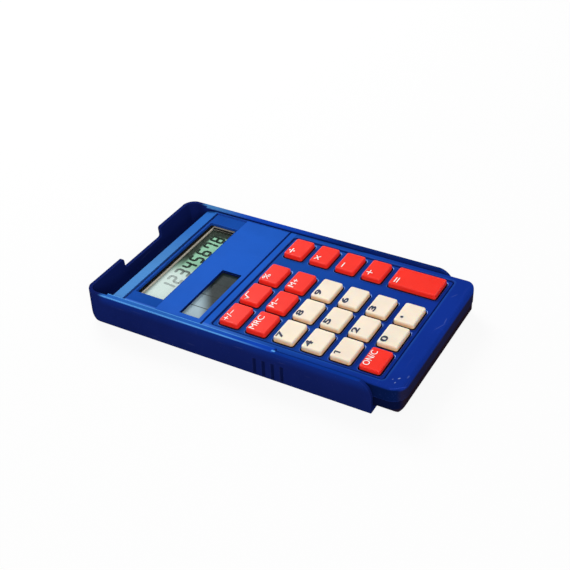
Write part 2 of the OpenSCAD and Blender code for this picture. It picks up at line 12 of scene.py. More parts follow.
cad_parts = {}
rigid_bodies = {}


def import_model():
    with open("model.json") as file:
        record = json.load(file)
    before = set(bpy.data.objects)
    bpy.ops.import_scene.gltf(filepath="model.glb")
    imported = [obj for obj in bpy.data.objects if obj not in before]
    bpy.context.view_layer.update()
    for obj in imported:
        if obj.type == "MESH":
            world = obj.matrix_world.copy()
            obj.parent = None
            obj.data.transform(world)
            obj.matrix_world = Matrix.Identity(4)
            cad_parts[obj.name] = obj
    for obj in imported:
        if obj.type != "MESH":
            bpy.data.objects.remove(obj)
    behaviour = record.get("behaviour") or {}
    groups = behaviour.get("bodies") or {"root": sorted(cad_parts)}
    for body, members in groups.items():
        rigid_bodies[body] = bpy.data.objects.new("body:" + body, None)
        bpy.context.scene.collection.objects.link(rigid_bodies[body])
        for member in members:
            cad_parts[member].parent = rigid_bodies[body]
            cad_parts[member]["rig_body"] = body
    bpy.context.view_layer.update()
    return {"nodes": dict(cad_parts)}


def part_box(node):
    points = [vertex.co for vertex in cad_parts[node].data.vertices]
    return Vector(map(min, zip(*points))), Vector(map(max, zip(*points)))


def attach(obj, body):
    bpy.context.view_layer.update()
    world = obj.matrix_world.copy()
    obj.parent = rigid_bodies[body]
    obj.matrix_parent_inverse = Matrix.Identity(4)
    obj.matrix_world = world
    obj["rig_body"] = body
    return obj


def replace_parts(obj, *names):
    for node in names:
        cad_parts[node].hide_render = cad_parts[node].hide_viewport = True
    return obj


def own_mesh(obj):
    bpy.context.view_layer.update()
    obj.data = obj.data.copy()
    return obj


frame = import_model()

bl_info = {
    "name": "Pocket calculator",
    "version": (1, 0, 0),
    "blender": (4, 5, 0),
    "location": "View3D > Sidebar > Calculator",
    "description": "Dresses the packed calculator with its keys, display, finishes and stage",
    "category": "Object",
}

MM = 0.001
PER_MM = 1 / MM

# Points closer than this are one, in metres and in units of the lettering
MERGE = 1e-6
LETTER_MERGE = 1e-5

# Angle from which an edge is sharp, and angle up to which two faces are one
SHARP = radians(32)
FLAT = radians(0.5)

# Steps of a rounded edge: fine, at the mouth of an opening, at a cap's upper edge and at its corners
FINE_STEPS, MOUTH_STEPS, CAP_STEPS, CORNER_STEPS = 2, 4, 4, 6

# Steps of a curve in the lettering
LETTER_STEPS = 6

# Range that a noise usually covers
NOISE_RANGE = 0.3, 0.7

# Key node, legend, legend box as left, right and middle below the cap's upper edge, height, all in mm
LEGENDS = [
    ("key_sign", "+/−", 0.85, 6.85, 2.05, 2.3),
    ("key_root", "√", 1, 5.5, 2, 2.3),
    ("key_percent", "%", 1.2, 4.5, 2, 2.3),
    ("key_divide", "÷", 1.4, 4.4, 2.2, 2.3),
    ("key_memory_recall", "MRC", 0.75, 8.6, 1.95, 2.25),
    ("key_memory_minus", "M−", 1, 6.2, 1.95, 2.25),
    ("key_memory_plus", "M+", 1.1, 6.1, 2.15, 2.25),
    ("key_times", "×", 1.6, 4.3, 2.3, 2),
    ("key_7", "7", 0.9, 3.95, 1.85, 2.44),
    ("key_8", "8", 0.95, 4.1, 1.85, 2.44),
    ("key_9", "9", 0.95, 4.1, 2.05, 2.44),
    ("key_minus", "−", 1.5, 4.4, 2.2, 0.37),
    ("key_4", "4", 0.85, 4.05, 1.85, 2.44),
    ("key_5", "5", 0.95, 4.05, 1.85, 2.44),
    ("key_6", "6", 0.95, 4.1, 1.85, 2.44),
    ("key_plus", "+", 1.5, 4.4, 2.2, 2.3),
    ("key_1", "1", 1.5, 3.15, 1.75, 2.2),
    ("key_2", "2", 0.95, 4.05, 1.85, 2.44),
    ("key_3", "3", 0.95, 4.05, 1.85, 2.44),
    ("key_equals", "=", 1.4, 4.5, 2.3, 1.3),
    ("key_on_clear", "ON/C", 1.35, 9.3, 1.75, 2.3),
    ("key_0", "0", 0.95, 4.15, 1.85, 2.44),
    ("key_point", ".", 2.1, 3.25, 2.15, 1.15),
]
RED_KEYS = {
    "key_sign", "key_root", "key_percent", "key_divide", "key_memory_recall",
    "key_memory_minus", "key_memory_plus", "key_times", "key_minus", "key_plus",
    "key_equals", "key_on_clear",
}

# Bars added to lettering: corner they start from, middle from there, length, thickness and slope
BARS = {
    "√": ((1, 1), (0.24, -0.045), 0.55, 0.09, 0.0),
    "1": ((-1, 1), (-0.13, -0.10), 0.40, 0.15, radians(22)),
}

# Lettering that is bolder or thinner than the rest, all dark lettering, and lettering that is set wider
BOLDER = {"1": 0.03, "×": -0.012, "+": -0.012}
DARK_BOLDER = 0.036
WIDER = {"M−": 1.14, "M+": 1.06}

# Marks on the face below the keys: from, to, half width in mm, and how plain they are
NICKS = [
    ((-27.6, -58.2), (-27.0, -58.6), 0.30, 0.5), ((-30.0, -58.0), (-29.5, -58.1), 0.25, 0.4),
    ((-28.7, -56.6), (-28.4, -56.8), 0.22, 0.3), ((-26.0, -60.6), (-24.6, -60.7), 0.30, 0.12),
    ((0.85, -58.5), (5.9, -60.6), 0.25, 0.06), ((5.2, -60.2), (9.0, -59.8), 0.25, 0.07),
    ((20.5, -56.4), (23.5, -58.0), 0.25, 0.05),
]

# Eased edge of the lower case at its display end, in mm from the end and up from the underside
# It leaves room for the curved foot inside the cover
HEEL = [(-4.8, 0.0), (-2.45, 0.42), (-1.2, 1.12), (-0.2, 2.2)]

# Segments of a display digit: middle x and y in half widths and quarter heights, and whether it lies flat
SEGMENTS = {
    "top": (0, 2, True), "middle": (0, 0, True), "bottom": (0, -2, True),
    "upper_left": (-1, 1, False), "upper_right": (1, 1, False),
    "lower_left": (-1, -1, False), "lower_right": (1, -1, False),
}
LIT = [
    ("1", ("upper_right", "lower_right")),
    ("2", ("top", "upper_right", "middle", "lower_left", "bottom")),
    ("3", ("top", "upper_right", "middle", "lower_right", "bottom")),
    ("4", ("upper_left", "upper_right", "middle", "lower_right")),
    ("5", ("top", "upper_left", "middle", "lower_right", "bottom")),
    ("6", ("top", "upper_left", "middle", "lower_left", "lower_right", "bottom")),
    ("7", ("top", "upper_left", "upper_right", "lower_right")),
    ("8", ("top", "upper_left", "upper_right", "middle", "lower_left", "lower_right", "bottom")),
]

# Shares of a digit's stroke: gap at a segment's end, what its ends add and the cut of its corners
DIGIT_GAP, DIGIT_END, DIGIT_CUT = 0.12, 0.4, 0.42

# Lean of a digit, across for its height
DIGIT_LEAN = 0.09

# Fields of the solar cell, and how far its painted reflection slants
FIELDS, REFLECTION_SLANT = 4, 1.5

# Two tones of each plain finish
TONES = {
    "zinc_steel": ((0.42, 0.42, 0.44), (0.62, 0.62, 0.64)),
    "zebra_rubber": ((0.55, 0.50, 0.44), (0.10, 0.10, 0.10)),
    "pad_foam": ((0.05, 0.05, 0.055), (0.13, 0.13, 0.14)),
    "tinned_copper": ((0.62, 0.27, 0.12), (0.78, 0.42, 0.22)),
    "board_mask": ((0.025, 0.12, 0.045), (0.06, 0.22, 0.08)),
    "mat_rubber": ((0.36, 0.37, 0.38), (0.50, 0.51, 0.52)),
}

# Small parts of the board: node, finish, colour and roughness
BOARD_PARTS = [
    ("chip_cover", "chip_resin", (0.012, 0.012, 0.014), 0.28),
    ("capacitor", "capacitor_sleeve", (0.02, 0.035, 0.16), 0.35),
    ("clamp_diode", "diode_glass", (0.50, 0.14, 0.05), 0.2),
]

# Lamps: name, azimuth and elevation in degrees, distance and size in metres, watts
LAMPS = [("back_softbox", 53, 39, 0.8, 0.37, 5.0), ("near_fill", 216, 33, 1.0, 0.7, 6.5)]

# Light of the world, and how far the floor is seen as white
WORLD_LIGHT, FLOOR_WHITE = 0.42, 0.9

# Camera: its place in metres, its right, up and back, its lens and sensor in mm, and where its view starts
VIEW_PLACE = (-0.27442, -0.16280, 0.24036)
VIEW_AXES = ((0.48668, -0.87300, -0.03188), (0.52097, 0.26076, 0.81277), (-0.70123, -0.41217, 0.58171))
VIEW_LENS, VIEW_SENSOR, VIEW_START = 69.21, 36.0, 0.01


def length(name, description, default):
    """Setting for a length in metres."""
    return FloatProperty(name=name, description=description, default=default, min=0.0,
                         precision=5, unit="LENGTH")


def shade(name, description, default):
    """Setting for a colour."""
    return FloatVectorProperty(name=name, description=description, default=default,
                               size=3, min=0.0, max=1.0, subtype="COLOR")


class CalculatorSizes(bpy.types.PropertyGroup):
    """Sizes of the dressed pieces"""

    edge_round: length("Edge rounding", "Rounding along the moulded edges", 0.12 * MM)
    fine_round: length("Fine rounding", "Rounding along the edges of thin pieces", 0.06 * MM)
    flange_w: length("Flange", "Width of the flange round a key's foot", 0.55 * MM)
    flange_t: length("Flange height", "Thickness of the flange round a key's foot", 1.0 * MM)
    cap_corner: length("Cap corner", "Corner radius of a key cap in plan", 0.9 * MM)
    cap_edge: length("Cap edge", "Rounding at the upper edge of a key cap", 0.5 * MM)
    cap_draft: length("Cap draft", "Inset of a cap's top against its foot", 0.12 * MM)
    ink: length("Ink", "Height of a printed legend", 0.03 * MM)
    panel_x: length("Panel margin across", "Keypad panel beside the outer caps", 1.95 * MM)
    panel_y: length("Panel margin along", "Keypad panel above and below the outer caps", 2.35 * MM)
    panel_corner: length("Panel corner", "Corner radius of the keypad panel", 1.5 * MM)
    panel_depth: length("Panel depth", "Keypad panel under the case's face", 0.4 * MM)
    mouth_round: length("Mouth rounding", "Rounding at the mouth of a key opening", 0.42 * MM)
    mat_sheet: length("Mat sheet", "Thickness of the rubber mat between its domes", 0.8 * MM)
    dome_reach: length("Dome reach", "Room round the middle of a dome that holds the whole dome", 3.6 * MM)
    dome_gap: length("Dome gap", "Gap between a dome and its pressed key", 0.03 * MM)
    cell_margin: length("Cell margin", "Solar cell beside its outer fields", 0.9 * MM)
    digit_w: length("Digit width", "Width of a display digit between stroke middles", 2.65 * MM)
    digit_h: length("Digit height", "Height of a display digit between stroke middles", 5.3 * MM)
    digit_pitch: length("Digit pitch", "Distance between display digits", 4.93 * MM)
    digit_x: length("Digit margin", "Last digit's middle from the view's right edge", 5.05 * MM)
    digit_y: length("Digit base", "Digits' middle above the view's lower edge", 3.7 * MM)
    digit_stroke: length("Digit stroke", "Stroke width of a display digit", 1.15 * MM)
    floor_size: length("Floor", "Length of the floor's side", 6.0)


class CalculatorColours(bpy.types.PropertyGroup):
    """Colours of the finishes"""

    cover: shade("Cover", "Blue of the slide cover", (0.0058, 0.0128, 0.100))
    # Painted light on the cover: walls lighter towards the rim, a highlight on the rim and sheen on the near
    # rim
    cover_wall: shade("Cover wall", "Blue of the slide cover's walls below the rim", (0.0055, 0.0225, 0.185))
    cover_rim: shade("Cover rim", "Blue of the slide cover's rubbed rim", (0.0068, 0.053, 0.410))
    rim_sheen: shade("Cover rim, lighter", "Blue of the near rim where it is hazy", (0.022, 0.120, 0.450))
    # Painted highlight along the edges of the cover's rim
    rim_highlight: shade("Rim line", "Edges of the slide cover's rim", (0.085, 0.300, 0.700))
    case: shade("Case", "Blue of the upper case half", (0.0062, 0.030, 0.262))
    # Painted sheen on the strip at the plate and on the slope, and a painted highlight along the near margin
    case_sheen: shade("Case, lighter", "Blue of the case's strip at the face plate", (0.0135, 0.096, 0.495))
    case_slope: shade("Case slope", "Blue of the case's slope at the display end", (0.024, 0.133, 0.480))
    slope_sheen: shade("Case slope, lighter", "Blue of the slope where it is hazy", (0.066, 0.225, 0.540))
    case_margin: shade("Case margin", "Blue of the face along the near side", (0.060, 0.185, 0.660))
    # Painted shade on the case's near side and on the walls of the key openings
    case_near: shade("Case side", "Blue of the upper case's near side", (0.0022, 0.0085, 0.058))
    key_mouth_shade: shade("Key mouth", "Walls of the key openings", (0.001, 0.003, 0.020))
    nick: shade("Nicks", "Bare plastic in the nicks and scratches", (0.42, 0.55, 0.85))
    # Painted shade: the lower case and the sides, the lower case's foot end with a painted reflection, and
    # its near side
    case_shade: shade("Lower case", "Blue of the lower case half and the sides", (0.014, 0.013, 0.042))
    low_foot: shade("Lower case foot", "Tone of the lower case at its foot end", (0.016, 0.009, 0.017))
    low_near: shade("Lower case side", "Blue of the lower case's near side", (0.0025, 0.0050, 0.032))
    plate: shade("Face plate", "Blue of the face plate", (0.013, 0.096, 0.490))
    red: shade("Red keys", "Colour of the function keys", (0.88, 0.024, 0.012))
    # Painted light: a brighter red towards a key's foot
    red_foot: shade("Red key foot", "Tone at the foot of a red key", (1.0, 0.034, 0.018))
    cream: shade("Cream keys", "Colour of the number keys", (0.86, 0.75, 0.61))
    # Painted light: a warmer tone towards a cream key's foot, then painted shade where a key meets the panel
    cream_foot: shade("Cream key foot", "Tone at the foot of a cream key", (0.86, 0.50, 0.22))
    key_gap_shade: shade("Key line", "Dark line where a key meets the panel", (0.020, 0.012, 0.020))
    white_ink: shade("White ink", "Legends on red keys", (0.92, 0.90, 0.88))
    navy_ink: shade("Navy ink", "Legends on cream keys", (0.010, 0.014, 0.045))
    frame: shade("Frame", "Frame round the display", (0.56, 0.47, 0.38))
    glass: shade("Display", "Panel of the display", (0.30, 0.55, 0.37))
    # Painted reflection on the display, painted shadow round it and painted shade along its upper edge
    display_reflection: shade("Display haze", "Panel of the display where it is hazy", (0.72, 0.79, 0.74))
    display_shadow: shade("Display margin", "Dark margin round the display", (0.013, 0.011, 0.008))
    display_edge: shade("Display edge", "Shade along the upper edge of the display", (0.14, 0.17, 0.17))
    lens_dust: shade("Lens dust", "Dust on the display lens", (0.80, 0.84, 0.84))
    lens: shade("Lens", "Tint of the display lens", (0.96, 0.98, 0.98))
    segment: shade("Segments", "Lit segments of the display", (0.004, 0.018, 0.008))
    solar: shade("Solar cell", "Fields of the solar cell", (0.016, 0.027, 0.027))
    # Painted reflection on the solar cell
    solar_reflection: shade("Solar haze", "Solar cell where it is hazy", (0.30, 0.41, 0.46))
    solar_middle: shade("Solar field", "Middle of a field of the solar cell", (0.028, 0.032, 0.034))
    solar_line: shade("Solar line", "Lines between the fields", (0.012, 0.012, 0.014))
    board_smear: shade("Board smears", "Darker smears on the board's mask", (0.02, 0.08, 0.03))
    paper: shade("Paper", "Floor of the stage", (0.80, 0.80, 0.80))


class CalculatorSettings(bpy.types.PropertyGroup):
    """Everything a user may change"""

    sizes: PointerProperty(type=CalculatorSizes)
    colours: PointerProperty(type=CalculatorColours)


def settings():
    """Settings of the scene."""
    return bpy.context.scene.calculator


class Tree:
    """Node tree, emptied and then filled by short calls."""

    def __init__(self, tree):
        self.tree = tree
        tree.nodes.clear()

    def add(self, kind, **values):
        """Node of a kind with some of its properties set."""
        node = self.tree.nodes.new(kind)
        for key, value in values.items():
            setattr(node, key, value)
        return node

    def join(self, a, b):
        """Link from an output to an input."""
        self.tree.links.new(a, b)

    def put(self, socket, value):
        """Input that gets a link or a constant."""
        if isinstance(value, bpy.types.NodeSocket):
            self.join(value, socket)
        elif socket.type == "RGBA":
            socket.default_value = (*value, 1.0)[:4]
        else:
            socket.default_value = value

    def math(self, operation, a, b=0.0):
        """Result of a calculation on two values."""
        node = self.add("ShaderNodeMath", operation=operation)
        self.put(node.inputs[0], a)
        self.put(node.inputs[1], b)
        return node.outputs[0]

    def blend(self, share, a, b):
        """Shader between two others."""
        node = self.add("ShaderNodeMixShader")
        self.put(node.inputs[0], share)
        self.join(a.outputs[0], node.inputs[1])
        self.join(b.outputs[0], node.inputs[2])
        return node.outputs[0]


class Finish(Tree):
    """Node tree of one procedural finish, read in millimetres on Object coordinates."""

    def __init__(self, name):
        self.material = bpy.data.materials.new(name)
        self.material.use_nodes = True
        super().__init__(self.material.node_tree)
        self.output = self.add("ShaderNodeOutputMaterial")
        place = self.add("ShaderNodeTexCoord")
        self.mm = self.add("ShaderNodeMapping")
        self.mm.inputs["Scale"].default_value = (PER_MM,) * 3
        self.join(place.outputs["Object"], self.mm.inputs["Vector"])

    def noise(self, scale, detail=2.0, stretch=(1, 1, 1), rough=0.5, turn=(0, 0, 0)):
        """Noise with features about 1/scale millimetres across."""
        place = self.add("ShaderNodeMapping")
        place.inputs["Scale"].default_value = stretch
        place.inputs["Rotation"].default_value = turn
        self.join(self.mm.outputs["Vector"], place.inputs["Vector"])
        node = self.add("ShaderNodeTexNoise")
        node.inputs["Scale"].default_value = scale
        node.inputs["Detail"].default_value = detail
        node.inputs["Roughness"].default_value = rough
        self.join(place.outputs["Vector"], node.inputs["Vector"])
        return node.outputs["Fac"]

    def axis(self, letter):
        """One coordinate in millimetres."""
        split = self.add("ShaderNodeSeparateXYZ")
        self.join(self.mm.outputs["Vector"], split.inputs[0])
        return split.outputs[letter]

    def span(self, value, low, high, to_low=0.0, to_high=1.0):
        """Value taken smoothly from low..high to to_low..to_high."""
        node = self.add("ShaderNodeMapRange", interpolation_type="SMOOTHSTEP")
        self.join(value, node.inputs["Value"])
        for name, number in (("From Min", low), ("From Max", high),
                             ("To Min", to_low), ("To Max", to_high)):
            node.inputs[name].default_value = number
        return node.outputs["Result"]

    def vary(self, noise, low=0.0, high=1.0):
        """Value from low to high that follows a noise over its usual range."""
        return self.span(noise, *NOISE_RANGE, low, high)

    def times(self, *values):
        """Product of several values."""
        result = values[0]
        for value in values[1:]:
            result = self.math("MULTIPLY", result, value)
        return result

    def mix(self, share, a, b):
        """Colour between two others."""
        node = self.add("ShaderNodeMix", data_type="RGBA")
        self.put(node.inputs["Factor"], share)
        self.put(node.inputs[6], a)
        self.put(node.inputs[7], b)
        return node.outputs[2]

    def shift(self, colour, factor):
        """Colour made lighter or darker by a factor."""
        node = self.add("ShaderNodeHueSaturation")
        self.put(node.inputs["Color"], colour)
        self.put(node.inputs["Value"], factor)
        return node.outputs["Color"]

    def region(self, *tests):
        """Share of a region bounded by several spans: a place, where it starts and is full in mm."""
        return self.times(*(self.span(self.place(letter), start, full) for letter, start, full in tests))

    def place(self, letter):
        """Coordinate by its letter; side is the distance from the middle plane."""
        return self.math("ABSOLUTE", self.axis("X")) if letter == "side" else self.axis(letter)

    def outline(self, low, high, radius):
        """Distance outside a rounded rectangle in plan, in millimetres."""
        parts = []
        for letter, a, b in (("X", low.x, high.x), ("Y", low.y, high.y)):
            off = self.math("ABSOLUTE", self.math("SUBTRACT", self.axis(letter), (a + b) / 2))
            parts.append(self.math("SUBTRACT", off, (b - a) / 2 - radius))
        past = [self.math("POWER", self.math("MAXIMUM", part, 0.0), 2.0) for part in parts]
        corner = self.math("SQRT", self.math("ADD", *past))
        within = self.math("MINIMUM", self.math("MAXIMUM", *parts), 0.0)
        return self.math("SUBTRACT", self.math("ADD", corner, within), radius)

    def stroke(self, a, b, width):
        """Thin mark from one point to another in plan, fading at its ends."""
        run = b - a
        along, across = run.normalized(), run.orthogonal().normalized()
        x, y = (self.math("SUBTRACT", self.axis(n), v) for n, v in (("X", a.x), ("Y", a.y)))
        far = self.math("ADD", self.times(x, along.x), self.times(y, along.y))
        off = self.math("ADD", self.times(x, across.x), self.times(y, across.y))
        ends = self.times(self.span(far, -width, 0.3 * run.length),
                          self.span(far, run.length + width, 0.7 * run.length))
        return self.times(ends, self.span(self.math("ABSOLUTE", off), width, 0.3 * width))

    def mark(self, name):
        """Share written on the mesh's faces: edge where it is worn and takes a painted highlight, gloss where
        it shines.
        """
        return self.add("ShaderNodeAttribute", attribute_name=name).outputs["Fac"]

    def bump(self, height, depth_mm, under=None):
        """Normal of a surface with a fine relief."""
        node = self.add("ShaderNodeBump")
        node.inputs["Distance"].default_value = depth_mm * MM
        self.join(height, node.inputs["Height"])
        if under is not None:
            self.join(under, node.inputs["Normal"])
        return node.outputs["Normal"]

    def gloss(self, shader, rough, shine, edge_shine):
        """Lets the edges marked as glossy shine more than the rest."""
        gloss = self.mark("gloss")
        self.join(self.span(gloss, 0.0, 1.0, shine, edge_shine), shader.inputs["Specular IOR Level"])
        smooth = self.span(gloss, 0.0, 1.0, 1.0, 0.85)
        self.join(self.times(rough, smooth), shader.inputs["Roughness"])

    def surface(self, colour, roughness, normal=None, **constants):
        """Principled surface; constants sit on the shader's own sockets."""
        shader = self.add("ShaderNodeBsdfPrincipled")
        self.put(shader.inputs["Base Color"], colour)
        self.put(shader.inputs["Roughness"], roughness)
        if normal is not None:
            self.join(normal, shader.inputs["Normal"])
        for name, value in constants.items():
            shader.inputs[name.replace("_", " ")].default_value = value
        self.join(shader.outputs[0], self.output.inputs["Surface"])
        return shader


def tone(colour, factor):
    """Colour made lighter or darker."""
    return tuple(min(1.0, c * factor) for c in colour)


def pale(colour, share):
    """Colour mixed with white."""
    return tuple(c + (1.0 - c) * share for c in colour)


def zoned(node, *zones):
    """Zones of a finish with their bounds in plain coordinates.

    A zone is a colour and its bounds. A bound is a place, where the zone starts and where it is full,
    in mm from the top, base, head, foot or near side of the node's box, or from both its flanks. X, Y
    and Z are plain coordinates.
    """
    low, high = (corner * PER_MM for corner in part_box(node))
    sides = {
        "top": ("Z", high.z, -1), "base": ("Z", low.z, 1), "head": ("Y", high.y, -1), "foot": ("Y", low.y, 1),
        "near": ("X", low.x, 1), "flank": ("side", high.x, -1),
    }
    made = []
    for colour, *bounds in zones:
        tests = []
        for place, start, full in bounds:
            letter, origin, way = sides.get(place, (place, 0.0, 1))
            tests.append((letter, origin + way * start, origin + way * full))
        made.append((tests, colour))
    return made


def moulded(name, colour, roughness, grain=0.010, shine=0.02, wear_and_highlight=0.5, tint=(0.30, 0.58, 1.0), zones=(),
            marks=None, edge_shine=0.0):
    """Moulded plastic with fine spark grain, cloudy tone, faint scratches and worn edges that carry a painted
    highlight.

    The zones come from zoned; marks adds further detail to the colour.
    """
    f = Finish(name)
    body = f.mix(0.0, colour, colour)
    for tests, other in zones:
        body = f.mix(f.region(*tests), body, other)
    if marks is not None:
        body = marks(f, body)
    # Cloudy tone and specks, then the worn edges with their painted highlight
    body = f.shift(body, f.vary(f.noise(0.05, 3.0), 0.93, 1.07))
    body = f.shift(body, f.span(f.noise(2.4, 2.0), 0.25, 0.75, 1.0, 0.95))
    rubbed_and_lit = f.times(f.mark("edge"), f.span(f.noise(0.35, 4.0), 0.36, 0.62, 0.4 * wear_and_highlight, wear_and_highlight))
    body = f.mix(rubbed_and_lit, body, pale(tone(colour, 2.0), 0.03))
    # Two directions of scratches
    along = f.span(f.noise(1.2, 2.0, (0.06, 4.0, 1.0), turn=(0, 0, radians(28))), 0.66, 0.74)
    across = f.span(f.noise(1.1, 2.0, (4.0, 0.07, 1.0), turn=(0, 0, radians(-17))), 0.68, 0.75)
    lines = f.math("MAXIMUM", along, across)
    body = f.mix(f.times(lines, 0.14), body, pale(tone(colour, 1.5), 0.08))
    smudge = f.span(f.noise(0.09, 4.0, rough=0.6), 0.3, 0.75, roughness - 0.05, roughness + 0.09)
    rough = f.math("ADD", smudge, f.times(lines, 0.08))
    fine = f.bump(f.noise(5.5, 2.0), grain)
    normal = f.bump(lines, 0.004, under=fine)
    shader = f.surface(body, rough, normal, Specular_IOR_Level=shine, Specular_Tint=(*tint, 1.0))
    if edge_shine:
        f.gloss(shader, rough, shine, edge_shine)
    return f.material


def rubbed_ink(name, colour, base):
    """Printed ink, a little thin in places."""
    f = Finish(name)
    thin = f.span(f.noise(1.6, 4.0), 0.64, 0.8, 0.0, 0.25)
    body = f.mix(thin, colour, base)
    body = f.mix(f.vary(f.noise(6.0), 0.0, 0.10), body, tone(colour, 0.8))
    f.surface(body, f.vary(f.noise(0.8), 0.42, 0.58), f.bump(f.noise(9.0), 0.004),
              Specular_IOR_Level=0.25)
    return f.material


def key_plastic(name, colour, foot, foot_colour):
    """Key plastic: satin top, painted light as a warmer tone towards the foot, and painted shade as a dark
    line at the panel.
    """
    f = Finish(name)
    cloud = f.noise(0.12, 3.0)
    body = f.mix(f.vary(cloud), tone(colour, 0.97), tone(colour, 1.03))
    speck = f.noise(3.2, 2.0)
    body = f.mix(f.span(speck, 0.3, 0.75, 0.0, 0.22), body, tone(colour, 0.92))
    height = f.axis("Z")
    # Painted light: a warmer tone in patches towards the foot
    low = f.span(height, foot + 0.4, foot + 1.75, 1.0, 0.0)
    patch = f.vary(f.noise(0.6, 3.0), 0.6, 0.95)
    body = f.mix(f.times(low, patch), body, foot_colour)
    # Painted shade: a dark line where the key meets the panel
    body = f.mix(f.span(height, foot + 0.12, foot - 0.03), body, settings().colours.key_gap_shade)
    rough = f.vary(f.noise(0.22, 4.0), 0.36, 0.44)
    shine, edge_shine = 0.08, 0.25
    shader = f.surface(
        body, rough, f.bump(f.noise(4.5, 2.0), 0.007), Specular_IOR_Level=shine,
        Subsurface_Weight=0.7, Subsurface_Radius=(1.0, 0.62, 0.36), Subsurface_Scale=1.8 * MM)
    f.gloss(shader, rough, shine, edge_shine)
    return f.material


def join_slots(obj, material):
    """Gives a CAD node its finish through its object's own slots."""
    if not obj.material_slots:
        obj.data.materials.append(material)
    for slot in obj.material_slots:
        slot.material = material


def finish_mesh(bm, name, material, body):
    """Makes an object of a bmesh, shades it and lets it ride on a body."""
    mesh = bpy.data.meshes.new(name)
    for face in bm.faces:
        face.smooth = True
    for edge in bm.edges:
        edge.smooth = not edge.is_manifold or edge.calc_face_angle() < SHARP
    bm.to_mesh(mesh)
    bm.free()
    mesh.materials.append(material)
    obj = bpy.data.objects.new(name, mesh)
    bpy.context.scene.collection.objects.link(obj)
    even = obj.modifiers.new("Even shading", "WEIGHTED_NORMAL")
    even.keep_sharp = True
    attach(obj, body)
    return obj


def body_of(node):
    """Body that carries a CAD node."""
    return frame["nodes"][node]["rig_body"]


def of_kind(geom, kind):
    """Vertices, edges or faces among the results of an operator."""
    return [g for g in geom if isinstance(g, kind)]


def copied(node):
    """Bmesh of a CAD node with its triangles joined up."""
    bm = bmesh.new()
    bm.from_mesh(frame["nodes"][node].data)
    bmesh.ops.remove_doubles(bm, verts=bm.verts, dist=MERGE)
    return bm


def sliced(bm, point, normal, above=False):
    """Cuts a bmesh by a plane, drops what lies beyond it or before it, and gives the cut's edges."""
    cut = bmesh.ops.bisect_plane(bm, geom=bm.verts[:] + bm.edges[:] + bm.faces[:], plane_co=point,
                                 plane_no=normal, clear_inner=above, clear_outer=not above)
    return of_kind(cut["geom_cut"], bmesh.types.BMEdge)


def thickened(bm, height):
    """Gives flat faces a height."""
    made = bmesh.ops.extrude_face_region(bm, geom=bm.faces[:], use_keep_orig=True)
    bmesh.ops.translate(bm, vec=(0, 0, height), verts=of_kind(made["geom"], bmesh.types.BMVert))
    bmesh.ops.recalc_face_normals(bm, faces=bm.faces)


def softened(node, name, width, material, level=None, wide=0.0, heel=()):
    """Copy of a CAD node with merged faces and rounded edges, which stands for the node.

    Outward edges at the given level are rounded wider than the others. A heel is a side view of the
    lower edge at the node's head end, which is cut to it.
    """
    bm = copied(node)
    edge = bm.faces.layers.float.new("edge")
    gloss = bm.faces.layers.float.new("gloss")
    low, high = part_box(node)
    for a, b in zip(heel, heel[1:]):
        point = (0.0, high.y + a[0] * MM, low.z + a[1] * MM)
        rim = sliced(bm, point, (0.0, b[1] - a[1], a[0] - b[0]))
        bmesh.ops.contextual_create(bm, geom=rim)
    bmesh.ops.dissolve_limit(bm, angle_limit=FLAT, verts=bm.verts, edges=bm.edges)
    surface, stray = BVHTree.FromBMesh(bm), max(width, wide) / 2
    rounds = [(None, width, FINE_STEPS, edge)]
    if level is not None:
        rounds.insert(0, (level, wide, MOUTH_STEPS, gloss))
    for at, offset, steps, layer in rounds:
        sharp = [e for e in bm.edges if e.is_manifold and e.calc_face_angle() > SHARP
                 and (at is None or e.is_convex and all(abs(v.co.z - at) < MERGE for v in e.verts))]
        if not sharp:
            raise RuntimeError(f"{node} has no edges to round")
        made = bmesh.ops.bevel(bm, geom=sharp, offset=offset, offset_type="OFFSET", segments=steps,
                               profile=0.5, affect="EDGES", clamp_overlap=False, material=-1)
        for face in made["faces"]:
            face[layer] = 1.0
    # Corners that the rounding throws off the surface go back to it, and none leaves the node's box
    for vert in bm.verts:
        spot, _, _, off = surface.find_nearest(vert.co)
        vert.co = [min(max(c, a), b) for c, a, b in zip(spot if off > stray else vert.co, low, high)]
    obj = finish_mesh(bm, name, material, body_of(node))
    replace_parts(obj, node)


